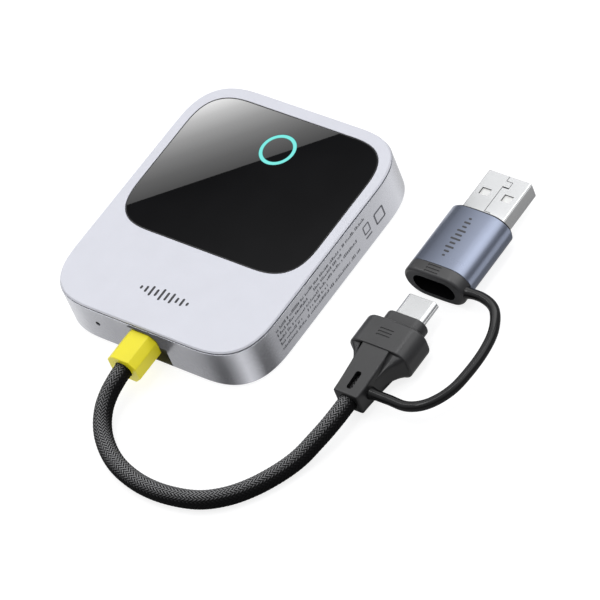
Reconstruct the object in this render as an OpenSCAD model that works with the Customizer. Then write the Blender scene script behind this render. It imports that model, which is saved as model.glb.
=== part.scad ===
// Wireless receiver puck with a braided pigtail, a USB-C plug and a tethered USB-A adapter.
// Millimetres. +Z up, +X along the front wall, -Y is the cable side.
// Origin: centre of the puck's underside.

/* [Puck] */
// Width of the puck along X
body_w = 59.4; // [54:0.2:64]
// Depth of the puck along Y
body_d = 70; // [66:0.5:76]
// Height of the puck
body_h = 12; // [12:0.25:14]
// Length over which each corner curves
corner_r = 16; // [12:0.5:18]
// Squareness of the corner curve (2 is a plain arc)
corner_p = 2.9; // [2:0.1:3.2]
// Thickness of the side wall
wall = 1.6; // [1.4:0.1:1.8]
// Shadow gap between side wall and top plate
shadow_gap = 0.15; // [0.1:0.05:0.3]
// Chamfer round the top plate
top_chamfer = 0.25; // [0.1:0.05:0.35]
// Step of the top plate in from the side wall
top_inset = 0.2; // [0.1:0.05:0.4]

/* [Window] */
// Width of the window
window_w = 53.4; // [46:0.2:53.4]
// Depth of the window
window_d = 42; // [36:0.5:43]
// Y of the window's centre
window_y = 10.6; // [9:0.1:11]
// Length over which each window corner curves
window_r = 12.4; // [8:0.2:14]
// Thickness of the window
window_t = 0.8; // [0.7:0.05:0.9]
// Clearance round the window
window_gap = 0.12; // [0.08:0.02:0.2]

/* [Light ring] */
// Y of the ring's centre
ring_y = 21.7; // [19:0.1:22]
// Outer radius of the ring
ring_r = 4.65; // [4:0.05:4.7]
// Width of the ring's line
ring_line = 1; // [0.7:0.05:1]
// Depth of the ring in the window
ring_depth = 0.45; // [0.3:0.05:0.5]

/* [Cable exit] */
// Height of the cable's centre at the puck
cable_z = 6.6; // [6.5:0.1:6.8]
// Diameter of the braided cable
cable_d = 4.4; // [4:0.1:4.4]
// Width of the recess in the front wall
recess_w = 12; // [10:0.5:13]
// Height of the recess
recess_h = 6.4; // [5:0.1:7]
// Depth of the recess
recess_depth = 2.2; // [1.5:0.1:2.3]
// Width of the boot's head
boot_w = 8.4; // [7.4:0.1:8.4]
// Height of the boot's head
boot_h = 7; // [6.6:0.1:7.2]
// Length of the boot's head
boot_l = 8.6; // [7:0.1:9]
// Bevel along the boot's edges
boot_bevel = 1.7; // [1:0.1:2]

/* [Reset] */
// X of the reset pinhole
reset_x = -14.2; // [-16:0.2:-12]
// Height of the reset pinhole
reset_z = 6.5; // [6.45:0.05:6.6]
// Radius of the reset pinhole
reset_hole_r = 0.65; // [0.5:0.05:0.8]
// Radius of the plunger
plunger_r = 0.6; // [0.5:0.05:0.6]

/* [Plug] */
// X of the plug's and adapter's centre line
line_x = 53.8; // [53.8:0.1:60]
// Height of that centre line
line_z = 4.7; // [4.7:0.1:5.2]
// Width of the plug housing
plug_w = 16.3; // [15:0.1:17]
// Thickness of the plug housing
plug_t = 9.4; // [9:0.1:9.4]
// Corner radius of the plug housing
plug_r = 3.6; // [2.5:0.1:4.2]
// Length of the plug housing
plug_l = 7.9; // [7.9:0.1:9]
// Y of the housing's face toward the adapter
plug_y = -8.5; // [-8.7:0.1:-8.5]
// Width of the collar
collar_w = 10.9; // [10.4:0.1:10.9]
// Thickness of the collar
collar_t = 5.2; // [4.8:0.1:5.2]
// Length of the collar
collar_l = 3.55; // [3.2:0.05:3.55]
// Width of the USB-C shell
c_shell_w = 8.25; // [8.2:0.01:8.26]
// Thickness of the USB-C shell
c_shell_t = 2.4; // [2.36:0.01:2.42]
// Exposed length of the USB-C shell
c_shell_l = 6.3; // [6.2:0.05:6.3]
// Length of the neck
neck_l = 13.1; // [12:0.1:13.8]
// Width of the neck at the cable end
neck_w = 6.8; // [6.6:0.1:7.4]
// Thickness of the neck at the cable end
neck_t = 5.8; // [5.6:0.1:6.4]

/* [Tether] */
// Diameter of the tether strap
tether_d = 2.4; // [2:0.1:2.4]

/* [Adapter] */
// Width of the adapter
adapter_w = 16.6; // [16.6:0.1:18]
// Thickness of the adapter
adapter_t = 9.4; // [9:0.1:9.4]
// Corner radius of the adapter
adapter_r = 4.3; // [3.5:0.1:4.4]
// Y of the adapter's socket face
adapter_y = 5.5; // [5.5:0.1:7]
// Length of the end cap's rim
cap_l = 3.2; // [3.2:0.1:4]
// Length of the metal sleeve
sleeve_l = 17; // [16.8:0.1:18]
// Width of the socket mouth
mouth_w = 11.4; // [11.3:0.1:11.8]
// Height of the socket mouth
mouth_t = 5.6; // [5.6:0.1:6]
// Width of the USB-A shell
a_shell_w = 12; // [11.9:0.05:12.1]
// Thickness of the USB-A shell
a_shell_t = 4.5; // [4.4:0.05:4.6]
// Exposed length of the USB-A shell
a_shell_l = 12.4; // [11.8:0.1:13]

/* [Section] */
// Which sub-part to build

/* [Hidden] */

// Smallest working gap between neighbouring parts, and the overshoot of a cut
gap = 0.05;
cut = 1;

// Levels in the puck, from the bottom up
pad_t = 0.6;
plate_z = 0.4;
plate_t = 1.4;
frame_z = 0.2;
board_z = 4.6;
board_t = 1;
board_top = board_z + board_t;
lid_t = 0.6;
lid_z = body_h - lid_t;
frame_top = lid_z - shadow_gap;
window_z = body_h - window_t;
tape_t = 0.15;
ceiling_z = window_z - tape_t - 0.65;
front_y = -body_d / 2;

// Screw posts
post_x = 21.5;
post_y = 26;
post_r = 2.4;
screw_r = 0.95;
head_r = 1.7;
head_top = 1.8;
screw_l = 6;

// Board outline and lid skirt, measured in from the side wall's outside
board_in = 3.2;
skirt_t = 1.2;
skirt_h = 1.8;

// Block behind the cable recess and the parts on the cable there
block_w = 16;
block_t = 1.9;
shank_r = 2.75;
flange_w = 9;
flange_h = 7.4;
flange_t = 1.5;
flange_y = front_y + wall + block_t + gap;
clamp_y = flange_y + flange_t + gap;
clamp_t = 2.6;
cable_r = cable_d / 2;
cable_bore_r = cable_r + 0.15;
notch_w = 19;
notch_y = clamp_y + clamp_t + 0.4;

// Reset switch
switch_w = 3.6;
switch_l = 2.6;
switch_h = 1.75;
switch_y = front_y + wall + 2.05;
plunger_l = 2.6;
plunger_y = front_y + wall + 0.3;

// Plug levels along Y
plug_back = plug_y - plug_l;
neck_end = plug_back - neck_l;
collar_y = plug_y + collar_l;
c_tip_y = collar_y + c_shell_l;
c_wall = 0.25;
c_back_y = plug_y + 0.7;
neck_bore_r = cable_r + 0.1;
crimp_l = 2.6;
crimp_r = 2.9;
tether_y = neck_end + 4.1;
tether_r = tether_d / 2;
tether_cap_y = adapter_y + 1.7;

// Adapter levels along Y
travel = adapter_y - plug_y - 0.2;
cap_back = adapter_y + cap_l;
sleeve_back = cap_back + sleeve_l;
plate_back = sleeve_back + 0.5;
sleeve_wall = 0.95;
mouth_back = collar_y + travel + 0.2;
socket_w = 8.34;
socket_t = 2.56;
socket_wall = 0.3;
socket_y = mouth_back + gap;
tongue_back = c_tip_y + travel + 0.15;
socket_back = tongue_back + 1.5;
a_tip_y = plate_back + a_shell_l;
a_back_y = sleeve_back - 4.2;
a_wall = 0.3;
spigot_l = 3;

// Route of the braided cable, from the clamp in the puck to the plug's neck
cable_route = [[0, clamp_y, cable_z], [0, front_y, cable_z], [0, front_y - boot_l, cable_z],
               [0.1, -47.2, 6.3], [0.1, -50.2, 5.4], [0.7, -53.4, 4.4], [2.4, -56.9, 3.3],
               [5.4, -60.2, 2.6], [9.8, -63.2, 2.3], [15, -65.3, 2.2], [21.5, -66.5, 2.2],
               [28.5, -66.3, 2.2], [35.6, -64.6, 2.2], [41, -61.3, 2.2], [45.2, -56.8, 2.2],
               [48.6, -51.3, 2.3], [51, -46.2, 2.8], [52.6, -41.2, 3.9], [53.6, -36, 4.6],
               [line_x, neck_end, line_z], [line_x, plug_back - 1, line_z]];

// Route of the tether strap, from the neck to the end cap
tether_route = [[line_x + 2.9, tether_y, line_z], [line_x + 8.5, tether_y, line_z],
                [67.3, -25.3, line_z], [71.3, -22.8, line_z], [74.1, -17.8, line_z],
                [75, -11.7, line_z], [74.9, -5, line_z], [73.6, 0.7, line_z],
                [70.5, 5.5, line_z], [66.2, 7.3, line_z], [line_x + 7.3, tether_cap_y, line_z]];

cable_color = "#2c2c2e";
metal = "#c9ccd1";
dark = "#4a4b4e";
gold = "#d9b45a";
board_green = "#1f5a3c";
silver = "#dcdce4";
chip = "#202124";

// ---------- outlines ----------

// A rectangle with soft corners: each corner is a quarter of a superellipse
corner_steps = 10;
corner_signs = [[1, 1], [-1, 1], [-1, -1], [1, -1]];

function soft_len(a, r) =
    r / pow(pow(abs(cos(a)), corner_p) + pow(abs(sin(a)), corner_p), 1 / corner_p);

function soft_rect(w, d, r) =
    [for (k = [0:3], i = [0:corner_steps])
        let (a = 90 * (k + i / corner_steps), s = corner_signs[k], l = soft_len(a, r))
            [s[0] * (w / 2 - r) + l * cos(a), s[1] * (d / 2 - r) + l * sin(a)]];

module puck_outline(inset) {
    polygon(soft_rect(body_w - 2 * inset, body_d - 2 * inset, corner_r - inset));
}

module window_outline(grow) {
    translate([0, window_y])
        polygon(soft_rect(window_w + 2 * grow, window_d + 2 * grow, window_r + grow));
}

// A rectangle with round corners, drawn in X and Z and extruded from y0 to y1
module round_rect(w, t, r) {
    square([w - 2 * r, t], center = true);
    square([w, t - 2 * r], center = true);
    for (sx = [-1, 1], sy = [-1, 1])
        translate([sx * (w / 2 - r), sy * (t / 2 - r)])
            circle(r, $fn = 32);
}

module along_y(y0, y1) {
    translate([line_x, y1, line_z])
        rotate([90, 0, 0])
            linear_extrude(y1 - y0)
                children();
}

// A round bar along Y
module bar_y(x, z, y0, y1, r, sides = 32) {
    translate([x, y1, z])
        rotate([90, 0, 0])
            cylinder(h = y1 - y0, r = r, $fn = sides);
}

// A block between two corners
module block(lo, hi) {
    translate(lo)
        cube(hi - lo);
}

module on_posts() {
    for (sx = [-1, 1], sy = [-1, 1])
        translate([sx * post_x, sy * post_y])
            children();
}

// ---------- swept tubes ----------

function spline(p, i, t) =
    let (n = len(p) - 1, a = p[max(i - 1, 0)], b = p[i], c = p[i + 1], d = p[min(i + 2, n)])
        0.5 * (2 * b + (c - a) * t + (2 * a - 5 * b + 4 * c - d) * t * t
               + (3 * b - a - 3 * c + d) * t * t * t);

function route_points(p, steps) =
    concat([for (i = [0:len(p) - 2], k = [0:steps - 1]) spline(p, i, k / steps)],
           [p[len(p) - 1]]);

function unit(v) = v / norm(v);

function heading(q, i) = unit(q[min(i + 1, len(q) - 1)] - q[max(i - 1, 0)]);

// One ring of points square to the route, its first point held level
function ring_at(q, i, r, sides) =
    let (h = heading(q, i), side = unit(cross(h, [0, 0, 1])), up = cross(side, h))
        [for (k = [0:sides - 1])
            q[i] + r * (side * cos(360 * k / sides) - up * sin(360 * k / sides))];

module tube(route, r, sides, steps) {
    q = route_points(route, steps);
    n = len(q);
    points = [for (i = [0:n - 1]) each ring_at(q, i, r, sides)];
    walls = [for (i = [0:n - 2], k = [0:sides - 1])
        let (m = (k + 1) % sides)
            [i * sides + k, (i + 1) * sides + k, (i + 1) * sides + m, i * sides + m]];
    near_end = [for (k = [0:sides - 1]) k];
    far_end = [for (k = [sides - 1:-1:0]) (n - 1) * sides + k];
    polyhedron(points, concat([near_end], walls, [far_end]), convexity = 6);
}

// ---------- puck ----------

module lid_plate() {
    low = soft_rect(body_w - 2 * top_inset, body_d - 2 * top_inset, corner_r - top_inset);
    in = top_inset + top_chamfer;
    high = soft_rect(body_w - 2 * in, body_d - 2 * in, corner_r - in);
    n = len(low);
    points = concat([for (p = low) [p[0], p[1], lid_z]],
                    [for (p = low) [p[0], p[1], body_h - top_chamfer]],
                    [for (p = high) [p[0], p[1], body_h]]);
    walls = [for (j = [0:1], k = [0:n - 1])
        let (m = (k + 1) % n)
            [j * n + k, (j + 1) * n + k, (j + 1) * n + m, j * n + m]];
    floor_face = [for (k = [0:n - 1]) k];
    top_face = [for (k = [n - 1:-1:0]) 2 * n + k];
    polyhedron(points, concat([floor_face], walls, [top_face]), convexity = 2);
}

module top_cover() {
    color(silver)
        difference() {
            union() {
                lid_plate();
                translate([0, 0, ceiling_z])
                    linear_extrude(lid_z - ceiling_z)
                        puck_outline(wall + gap);
                translate([0, 0, ceiling_z - skirt_h])
                    linear_extrude(skirt_h)
                        difference() {
                            puck_outline(wall + gap);
                            puck_outline(wall + gap + skirt_t);
                        }
                translate([0, 0, board_top + gap])
                    linear_extrude(ceiling_z - board_top - gap)
                        on_posts()
                            circle(post_r, $fn = 32);
            }
            translate([0, 0, window_z - tape_t])
                linear_extrude(window_t + tape_t + cut)
                    window_outline(window_gap);
            translate([0, ring_y, ceiling_z - cut])
                cylinder(h = 4 * cut, r = ring_r + 0.5, $fn = 48);
            translate([0, 0, board_top - cut])
                linear_extrude(screw_l + head_top - board_top + 2 * cut)
                    on_posts()
                        circle(screw_r + gap, $fn = 24);
            block([-block_w / 2 - gap, front_y, ceiling_z - skirt_h - cut],
                  [block_w / 2 + gap, clamp_y, frame_top + gap]);
        }
}

module window_panel() {
    color(chip)
        difference() {
            translate([0, 0, window_z])
                linear_extrude(window_t)
                    window_outline(0);
            translate([0, ring_y, body_h - ring_depth])
                ring(ring_r, ring_r - ring_line, ring_depth + cut);
        }
}

module ring(outer, inner, h) {
    linear_extrude(h)
        difference() {
            circle(outer, $fn = 64);
            circle(inner, $fn = 64);
        }
}

module window_adhesive() {
    color("#8b8b86")
        translate([0, 0, window_z - tape_t])
            linear_extrude(tape_t)
                difference() {
                    window_outline(-0.3);
                    window_outline(-2.6);
                }
}

module light_ring() {
    color("#6fe8e0")
        translate([0, ring_y, body_h - ring_depth])
            ring(ring_r - 0.02, ring_r - ring_line + 0.02, ring_depth);
}

module light_guide() {
    color("#e8f4f4")
        translate([0, ring_y, board_top + 0.9])
            ring(ring_r + 0.15, ring_r - ring_line - 0.15, window_z - gap - board_top - 0.9);
}

module status_leds() {
    color("#f2f0e0")
        for (a = [0:90:270])
            translate([0, ring_y, board_top])
                rotate([0, 0, a])
                    translate([ring_r - ring_line / 2 - 0.4, -0.8, 0])
                        cube([0.8, 1.6, 0.6]);
}

module side_frame() {
    color("#aeb0b6")
        difference() {
            translate([0, 0, frame_z])
                linear_extrude(frame_top - frame_z)
                    union() {
                        difference() {
                            puck_outline(0);
                            puck_outline(wall);
                        }
                        translate([-block_w / 2, front_y + wall - gap])
                            square([block_w, block_t + gap]);
                    }
            block([-recess_w / 2, front_y - cut, frame_z - cut],
                  [recess_w / 2, front_y + recess_depth, recess_h]);
            bar_y(0, cable_z, front_y - cut, flange_y + cut, shank_r + gap);
            bar_y(reset_x, reset_z, front_y - cut, front_y + wall + cut, reset_hole_r);
        }
}

module bottom_cover() {
    color(silver)
        difference() {
            union() {
                translate([0, 0, plate_z])
                    linear_extrude(plate_t)
                        difference() {
                            puck_outline(wall + gap);
                            translate([-block_w / 2 - gap, front_y])
                                square([block_w + 2 * gap, wall + block_t + gap]);
                        }
                translate([0, 0, plate_z])
                    linear_extrude(board_z - plate_z)
                        on_posts()
                            circle(post_r, $fn = 32);
            }
            translate([0, 0, plate_z - cut])
                linear_extrude(pad_t - plate_z + cut)
                    puck_outline(wall + 4.4);
            translate([0, 0, plate_z - cut])
                linear_extrude(head_top - plate_z + cut)
                    on_posts()
                        circle(head_r + 0.1, $fn = 32);
            translate([0, 0, plate_z])
                linear_extrude(board_z)
                    on_posts()
                        circle(screw_r + 0.1, $fn = 24);
        }
}

module base_pad() {
    color("#3a3b3e")
        linear_extrude(pad_t)
            puck_outline(wall + 4.5);
}

module cover_screws() {
    color(metal)
        difference() {
            union() {
                translate([0, 0, head_top - 1])
                    linear_extrude(1)
                        on_posts()
                            circle(head_r, $fn = 24);
                translate([0, 0, head_top])
                    linear_extrude(screw_l)
                        on_posts()
                            circle(screw_r, $fn = 16);
            }
            translate([0, 0, head_top - 1 - cut])
                linear_extrude(0.5 + cut)
                    on_posts()
                        circle(0.7, $fn = 6);
        }
}

module main_board() {
    color(board_green)
        translate([0, 0, board_z])
            linear_extrude(board_t)
                difference() {
                    puck_outline(board_in);
                    translate([-notch_w / 2, front_y])
                        square([notch_w, notch_y - front_y]);
                    on_posts()
                        circle(screw_r + 0.25, $fn = 24);
                }
}

module on_board(x, y, size) {
    translate([x - size[0] / 2, y - size[1] / 2, board_top])
        cube(size);
}

module processor_chip() {
    color(chip)
        on_board(-8, -4, [14, 14, 1.1]);
}

module thermal_pad() {
    color("#8fa3b8")
        translate([0, 0, 1.1])
            on_board(-8, -4, [12, 12, 0.9]);
}

module heat_spreader() {
    color(metal)
        translate([0, 0, 2])
            on_board(-8, -4, [30, 22, 0.8]);
}

module memory_chip() {
    color(chip)
        on_board(14, -12, [9, 11, 1]);
}

module shield_can() {
    color(metal)
        difference() {
            on_board(16, 6, [16, 14, 2]);
            translate([0, 0, -0.2])
                on_board(16, 6, [15.6, 13.6, 2]);
        }
}

module wireless_chip() {
    color(chip)
        on_board(16, 6, [8, 8, 0.9]);
}

module crystal() {
    color(metal)
        on_board(4.5, -12, [3.2, 2.5, 0.7]);
}

module power_inductors() {
    color("#55575c")
        for (x = [-20, -14])
            on_board(x, 14, [4, 4, 2]);
}

module capacitors() {
    color("#b08d57")
        for (k = [0:5], row = [0:1])
            on_board(-19 + 2 * k, -15.6 - 2.2 * row, [0.8, 1.6, 0.7]);
}

module reset_switch() {
    color(chip)
        difference() {
            block([reset_x - switch_w / 2, switch_y, board_top],
                  [reset_x + switch_w / 2, switch_y + switch_l, board_top + switch_h]);
            bar_y(reset_x, reset_z, switch_y - cut, switch_y + 1.4, plunger_r + gap, 24);
        }
}

module reset_plunger() {
    color("#e8e8e4")
        bar_y(reset_x, reset_z, plunger_y, plunger_y + plunger_l, plunger_r, 24);
}

module wire_header() {
    color("#efeee8")
        difference() {
            on_board(0, notch_y + 3.4, [8, 3.4, 2]);
            for (x = [-2.25:1.5:2.25])
                bar_y(x, board_top + 1, notch_y + 1, notch_y + 3, 0.5, 12);
        }
}

module internal_wires() {
    color("#b33a34")
        for (k = [0:3])
            tube([[1.1 * k - 1.65, clamp_y + 1.2, cable_z], [1.2 * k - 1.8, notch_y, cable_z + 0.1],
                  [1.5 * k - 2.25, notch_y + 1.2, board_top + 1],
                  [1.5 * k - 2.25, notch_y + 2.4, board_top + 1]], 0.35, 8, 3);
}

module antenna_strips() {
    color("#c98a3a")
        for (side = [-1, 1])
            translate([side * (body_w / 2 - board_in - 0.4) - 0.1, 12, board_top + 0.2])
                cube([0.2, 14, 2]);
}

module antenna_leads() {
    color(chip) {
        tube([[25.7, 18, board_top + 1.2], [22, 17.5, board_top + 2.2],
              [18, 14.6, board_top + 3], [17, 11, board_top + 2.5]], 0.45, 8, 3);
        tube([[-25.7, 18, board_top + 1.2], [-18, 17, board_top + 3], [-6, 12, board_top + 3.4],
              [8, 11, board_top + 3.2], [12, 9, board_top + 2.5]], 0.45, 8, 3);
    }
}

// ---------- cable exit ----------

module boot_section(w, h, bevel) {
    polygon([[-w / 2 + bevel, -h / 2], [w / 2 - bevel, -h / 2], [w / 2, -h / 2 + bevel],
             [w / 2, h / 2 - bevel], [w / 2 - bevel, h / 2], [-w / 2 + bevel, h / 2],
             [-w / 2, h / 2 - bevel], [-w / 2, -h / 2 + bevel]]);
}

module cable_boot() {
    color("#f0e21c")
        difference() {
            union() {
                translate([0, front_y - gap, cable_z])
                    rotate([90, 0, 0])
                        linear_extrude(boot_l - gap)
                            boot_section(boot_w, boot_h, boot_bevel);
                bar_y(0, cable_z, front_y - 1, flange_y + 0.5, shank_r);
                block([-flange_w / 2, flange_y, cable_z - flange_h / 2],
                      [flange_w / 2, flange_y + flange_t, cable_z + flange_h / 2]);
            }
            bar_y(0, cable_z, front_y - boot_l - cut, flange_y + flange_t + cut, cable_bore_r);
        }
}

module boot_clamp() {
    color("#5c5e63")
        difference() {
            block([-flange_w / 2, clamp_y, plate_z + plate_t],
                  [flange_w / 2, clamp_y + clamp_t, cable_z + 3.2]);
            bar_y(0, cable_z, clamp_y - cut, clamp_y + clamp_t + cut, cable_bore_r);
        }
}

module pigtail_cable() {
    color(cable_color)
        tube(cable_route, cable_r, 10, 2);
}

// ---------- plug ----------

// A strip along Y whose half-width and half-height are given at each station
module loft(stations, corner) {
    n = 8;
    points = [for (s = stations)
        let (w = s[1], h = s[2], c = corner)
            each [for (p = [[w - c, -h], [w, c - h], [w, h - c], [w - c, h],
                            [c - w, h], [-w, h - c], [-w, c - h], [c - w, -h]])
                [line_x - p[0], s[0], line_z + p[1]]]];
    last = len(stations) - 1;
    walls = [for (i = [0:last - 1], k = [0:n - 1])
        let (m = (k + 1) % n)
            [i * n + k, (i + 1) * n + k, (i + 1) * n + m, i * n + m]];
    near_end = [for (k = [0:n - 1]) k];
    far_end = [for (k = [n - 1:-1:0]) last * n + k];
    polyhedron(points, concat([near_end], walls, [far_end]), convexity = 4);
}

flare_l = 6.6;
flare_steps = 8;

module plug_neck() {
    // straight spine, then a thinner flare that widens to the housing
    spine = [[neck_end, neck_w / 2, neck_t / 2], [plug_back, 3.9, plug_t / 2 - 0.4]];
    flare = [for (i = [0:flare_steps])
        let (s = i / flare_steps)
            [plug_back - flare_l * (1 - s), neck_w / 2 - 0.3 + 4.4 * pow(s, 2.6),
             2.1 + 1.3 * pow(s, 2)]];
    color(dark)
        difference() {
            union() {
                loft(spine, 0.7);
                loft(flare, 0.9);
            }
            bar_y(line_x, line_z, neck_end - cut, plug_back + cut, neck_bore_r);
            bar_y(line_x, line_z, plug_back - crimp_l - 0.2, plug_back + cut, crimp_r + 0.1);
            block([line_x - 0.75, neck_end + 1.5, line_z],
                  [line_x + 0.75, neck_end + 6.3, line_z + plug_t]);
            translate([line_x + 2.8, tether_y, line_z])
                rotate([0, 90, 0])
                    cylinder(h = 2 * cut, r = tether_r + 0.1, $fn = 16);
        }
}

module cable_crimp() {
    color(metal)
        difference() {
            bar_y(line_x, line_z, plug_back - crimp_l, plug_back - 0.3, crimp_r);
            bar_y(line_x, line_z, plug_back - crimp_l - cut, plug_back + cut, cable_r + 0.08);
        }
}

// Three short grooves in a top face
module grip_grooves(y, top) {
    for (k = [-1:1])
        block([line_x - 1.8, y + 0.9 * k - 0.22, top - 0.15],
              [line_x + 1.8, y + 0.9 * k + 0.22, top + cut]);
}

module plug_housing() {
    color(dark)
        difference() {
            along_y(plug_back, plug_y)
                round_rect(plug_w, plug_t, plug_r);
            along_y(plug_back + 0.9, plug_y - 0.9)
                round_rect(plug_w - 2.4, plug_t - 2.4, plug_r - 1.2);
            along_y(plug_y - 2, plug_y + cut)
                round_rect(c_shell_w + 0.6, c_shell_t + 0.6, c_shell_t / 2 + 0.2);
            bar_y(line_x, line_z, plug_back - cut, plug_back + 1.5, cable_r + 0.1);
            grip_grooves(plug_y - plug_l / 2, line_z + plug_t / 2);
        }
}

module plug_collar() {
    color(dark)
        difference() {
            along_y(plug_y, collar_y)
                round_rect(collar_w, collar_t, collar_t / 2 - 0.1);
            along_y(plug_y - cut, collar_y + cut)
                round_rect(c_shell_w + 0.04, c_shell_t + 0.04, c_shell_t / 2);
        }
}

module usb_c_shell() {
    color(metal)
        difference() {
            along_y(c_back_y, c_tip_y)
                round_rect(c_shell_w, c_shell_t, c_shell_t / 2 - 0.02);
            along_y(c_back_y - cut, c_tip_y + cut)
                round_rect(c_shell_w - 2 * c_wall, c_shell_t - 2 * c_wall,
                           c_shell_t / 2 - c_wall - 0.02);
        }
}

slot_w = 6.95;
slot_t = 0.9;

module usb_c_insulator() {
    color(chip)
        difference() {
            along_y(c_back_y + 0.2, c_tip_y - 0.25)
                round_rect(c_shell_w - 2 * c_wall - 0.04, c_shell_t - 2 * c_wall - 0.04,
                           c_shell_t / 2 - c_wall - 0.06);
            along_y(collar_y, c_tip_y + cut)
                square([slot_w, slot_t], center = true);
        }
}

module usb_c_contacts() {
    color(gold)
        for (k = [0:7], side = [-1, 1])
            translate([line_x - 2.625 + 0.75 * k, collar_y + 1.6, line_z + side * 0.41])
                translate([-0.12, 0, -0.03])
                    cube([0.24, 3.6, 0.06]);
}

module plug_board() {
    color(board_green)
        block([line_x - 3.6, plug_back + 1.7, line_z - 0.4],
              [line_x + 3.6, c_back_y - gap, line_z + 0.4]);
}

module tether_strap() {
    color("#3c3d40")
        tube(tether_route, tether_r, 8, 3);
}

// ---------- adapter ----------

module adapter_end_cap() {
    color(dark)
        difference() {
            union() {
                along_y(adapter_y, cap_back)
                    round_rect(adapter_w, adapter_t, adapter_r);
                along_y(cap_back - gap, cap_back + spigot_l)
                    round_rect(adapter_w - 2 * sleeve_wall - 0.1,
                               adapter_t - 2 * sleeve_wall - 0.1, adapter_r - sleeve_wall);
            }
            along_y(adapter_y - cut, mouth_back)
                round_rect(mouth_w, mouth_t, mouth_t / 2 - 0.02);
            along_y(adapter_y, cap_back + spigot_l + cut)
                round_rect(socket_w + 2 * socket_wall + 0.1, socket_t + 2 * socket_wall + 0.1,
                           socket_t / 2 + socket_wall);
            translate([line_x + 7.1, tether_cap_y, line_z])
                rotate([0, 90, 0])
                    cylinder(h = 3 * cut, r = tether_r + 0.1, $fn = 16);
            grip_grooves(adapter_y + cap_l / 2, line_z + adapter_t / 2);
        }
}

module adapter_sleeve() {
    color("#8e96ab")
        difference() {
            along_y(cap_back + gap, sleeve_back)
                round_rect(adapter_w, adapter_t, adapter_r);
            along_y(cap_back - cut, sleeve_back + cut)
                round_rect(adapter_w - 2 * sleeve_wall, adapter_t - 2 * sleeve_wall,
                           adapter_r - sleeve_wall);
        }
}

module adapter_back_plate() {
    color(dark)
        difference() {
            union() {
                along_y(sleeve_back + gap, plate_back)
                    round_rect(adapter_w - 0.8, adapter_t - 0.8, adapter_r - 0.4);
                along_y(sleeve_back - spigot_l, sleeve_back + 2 * gap)
                    round_rect(adapter_w - 2 * sleeve_wall - 0.1,
                               adapter_t - 2 * sleeve_wall - 0.1, adapter_r - sleeve_wall);
            }
            along_y(a_back_y - cut, plate_back + cut)
                square([a_shell_w + 0.1, a_shell_t + 0.1], center = true);
        }
}

module socket_shell() {
    color(metal)
        difference() {
            along_y(socket_y, socket_back)
                round_rect(socket_w + 2 * socket_wall, socket_t + 2 * socket_wall,
                           socket_t / 2 + socket_wall - 0.02);
            along_y(socket_y - cut, socket_back + cut)
                round_rect(socket_w, socket_t, socket_t / 2 - 0.02);
        }
}

module socket_tongue() {
    color(chip) {
        along_y(socket_y + 1, tongue_back + gap)
            square([6.7, 0.7], center = true);
        along_y(tongue_back, socket_back)
            round_rect(socket_w - 0.1, socket_t - 0.1, socket_t / 2 - 0.1);
    }
}

module adapter_board() {
    color(board_green)
        block([line_x - 6, socket_back + gap, line_z - 0.4],
              [line_x + 6, a_back_y - gap, line_z + 0.4]);
}

module usb_a_shell() {
    color(metal)
        difference() {
            along_y(a_back_y, a_tip_y)
                square([a_shell_w, a_shell_t], center = true);
            along_y(a_back_y - cut, a_tip_y + cut)
                square([a_shell_w - 2 * a_wall, a_shell_t - 2 * a_wall], center = true);
            for (side = [-1, 1])
                block([line_x + side * 3.1 - 1.25, a_tip_y - 7, line_z - a_shell_t],
                      [line_x + side * 3.1 + 1.25, a_tip_y - 5, line_z + a_shell_t]);
            a_seam();
        }
}

// The locked joint in the sheet: a fine groove with two square steps
module a_seam() {
    top = line_z + a_shell_t / 2;
    line = [[0, 1], [0, -1.5], [1.7, -1.5], [1.7, -3.2], [0, -3.4], [0, -11], [1.5, -11],
            [1.5, -a_shell_l - 1]];
    for (k = [0:len(line) - 2])
        block([line_x + min(line[k][0], line[k + 1][0]) - 0.05,
               a_tip_y + min(line[k][1], line[k + 1][1]) - 0.05, top - 0.12],
              [line_x + max(line[k][0], line[k + 1][0]) + 0.05,
               a_tip_y + max(line[k][1], line[k + 1][1]) + 0.05, top + cut]);
}

module usb_a_insulator() {
    color("#e9e9e6")
        block([line_x - a_shell_w / 2 + a_wall + gap, a_back_y + 0.2, line_z],
              [line_x + a_shell_w / 2 - a_wall - gap, a_tip_y - 0.5,
               line_z + a_shell_t / 2 - a_wall - gap]);
}

module usb_a_contacts() {
    color(gold)
        for (x = [-3.5, -1, 1, 3.5])
            block([line_x + x - 0.5, a_tip_y - (abs(x) > 2 ? 9 : 8.4), line_z - 0.15],
                  [line_x + x + 0.5, a_tip_y - 1.2, line_z]);
}

top_cover();
window_panel();
window_adhesive();
light_ring();
light_guide();
status_leds();
side_frame();
bottom_cover();
base_pad();
cover_screws();
main_board();
processor_chip();
memory_chip();
thermal_pad();
heat_spreader();
shield_can();
wireless_chip();
crystal();
power_inductors();
capacitors();
reset_switch();
reset_plunger();
wire_header();
internal_wires();
antenna_strips();
antenna_leads();
cable_boot();
boot_clamp();
pigtail_cable();
plug_neck();
cable_crimp();
plug_housing();
plug_collar();
usb_c_shell();
usb_c_insulator();
usb_c_contacts();
plug_board();
tether_strap();
adapter_end_cap();
adapter_sleeve();
adapter_back_plate();
socket_shell();
socket_tongue();
adapter_board();
usb_a_shell();
usb_a_insulator();
usb_a_contacts();
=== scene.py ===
import math
import random

import bmesh
import bpy
import numpy as np
from mathutils import Matrix, Vector


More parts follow.
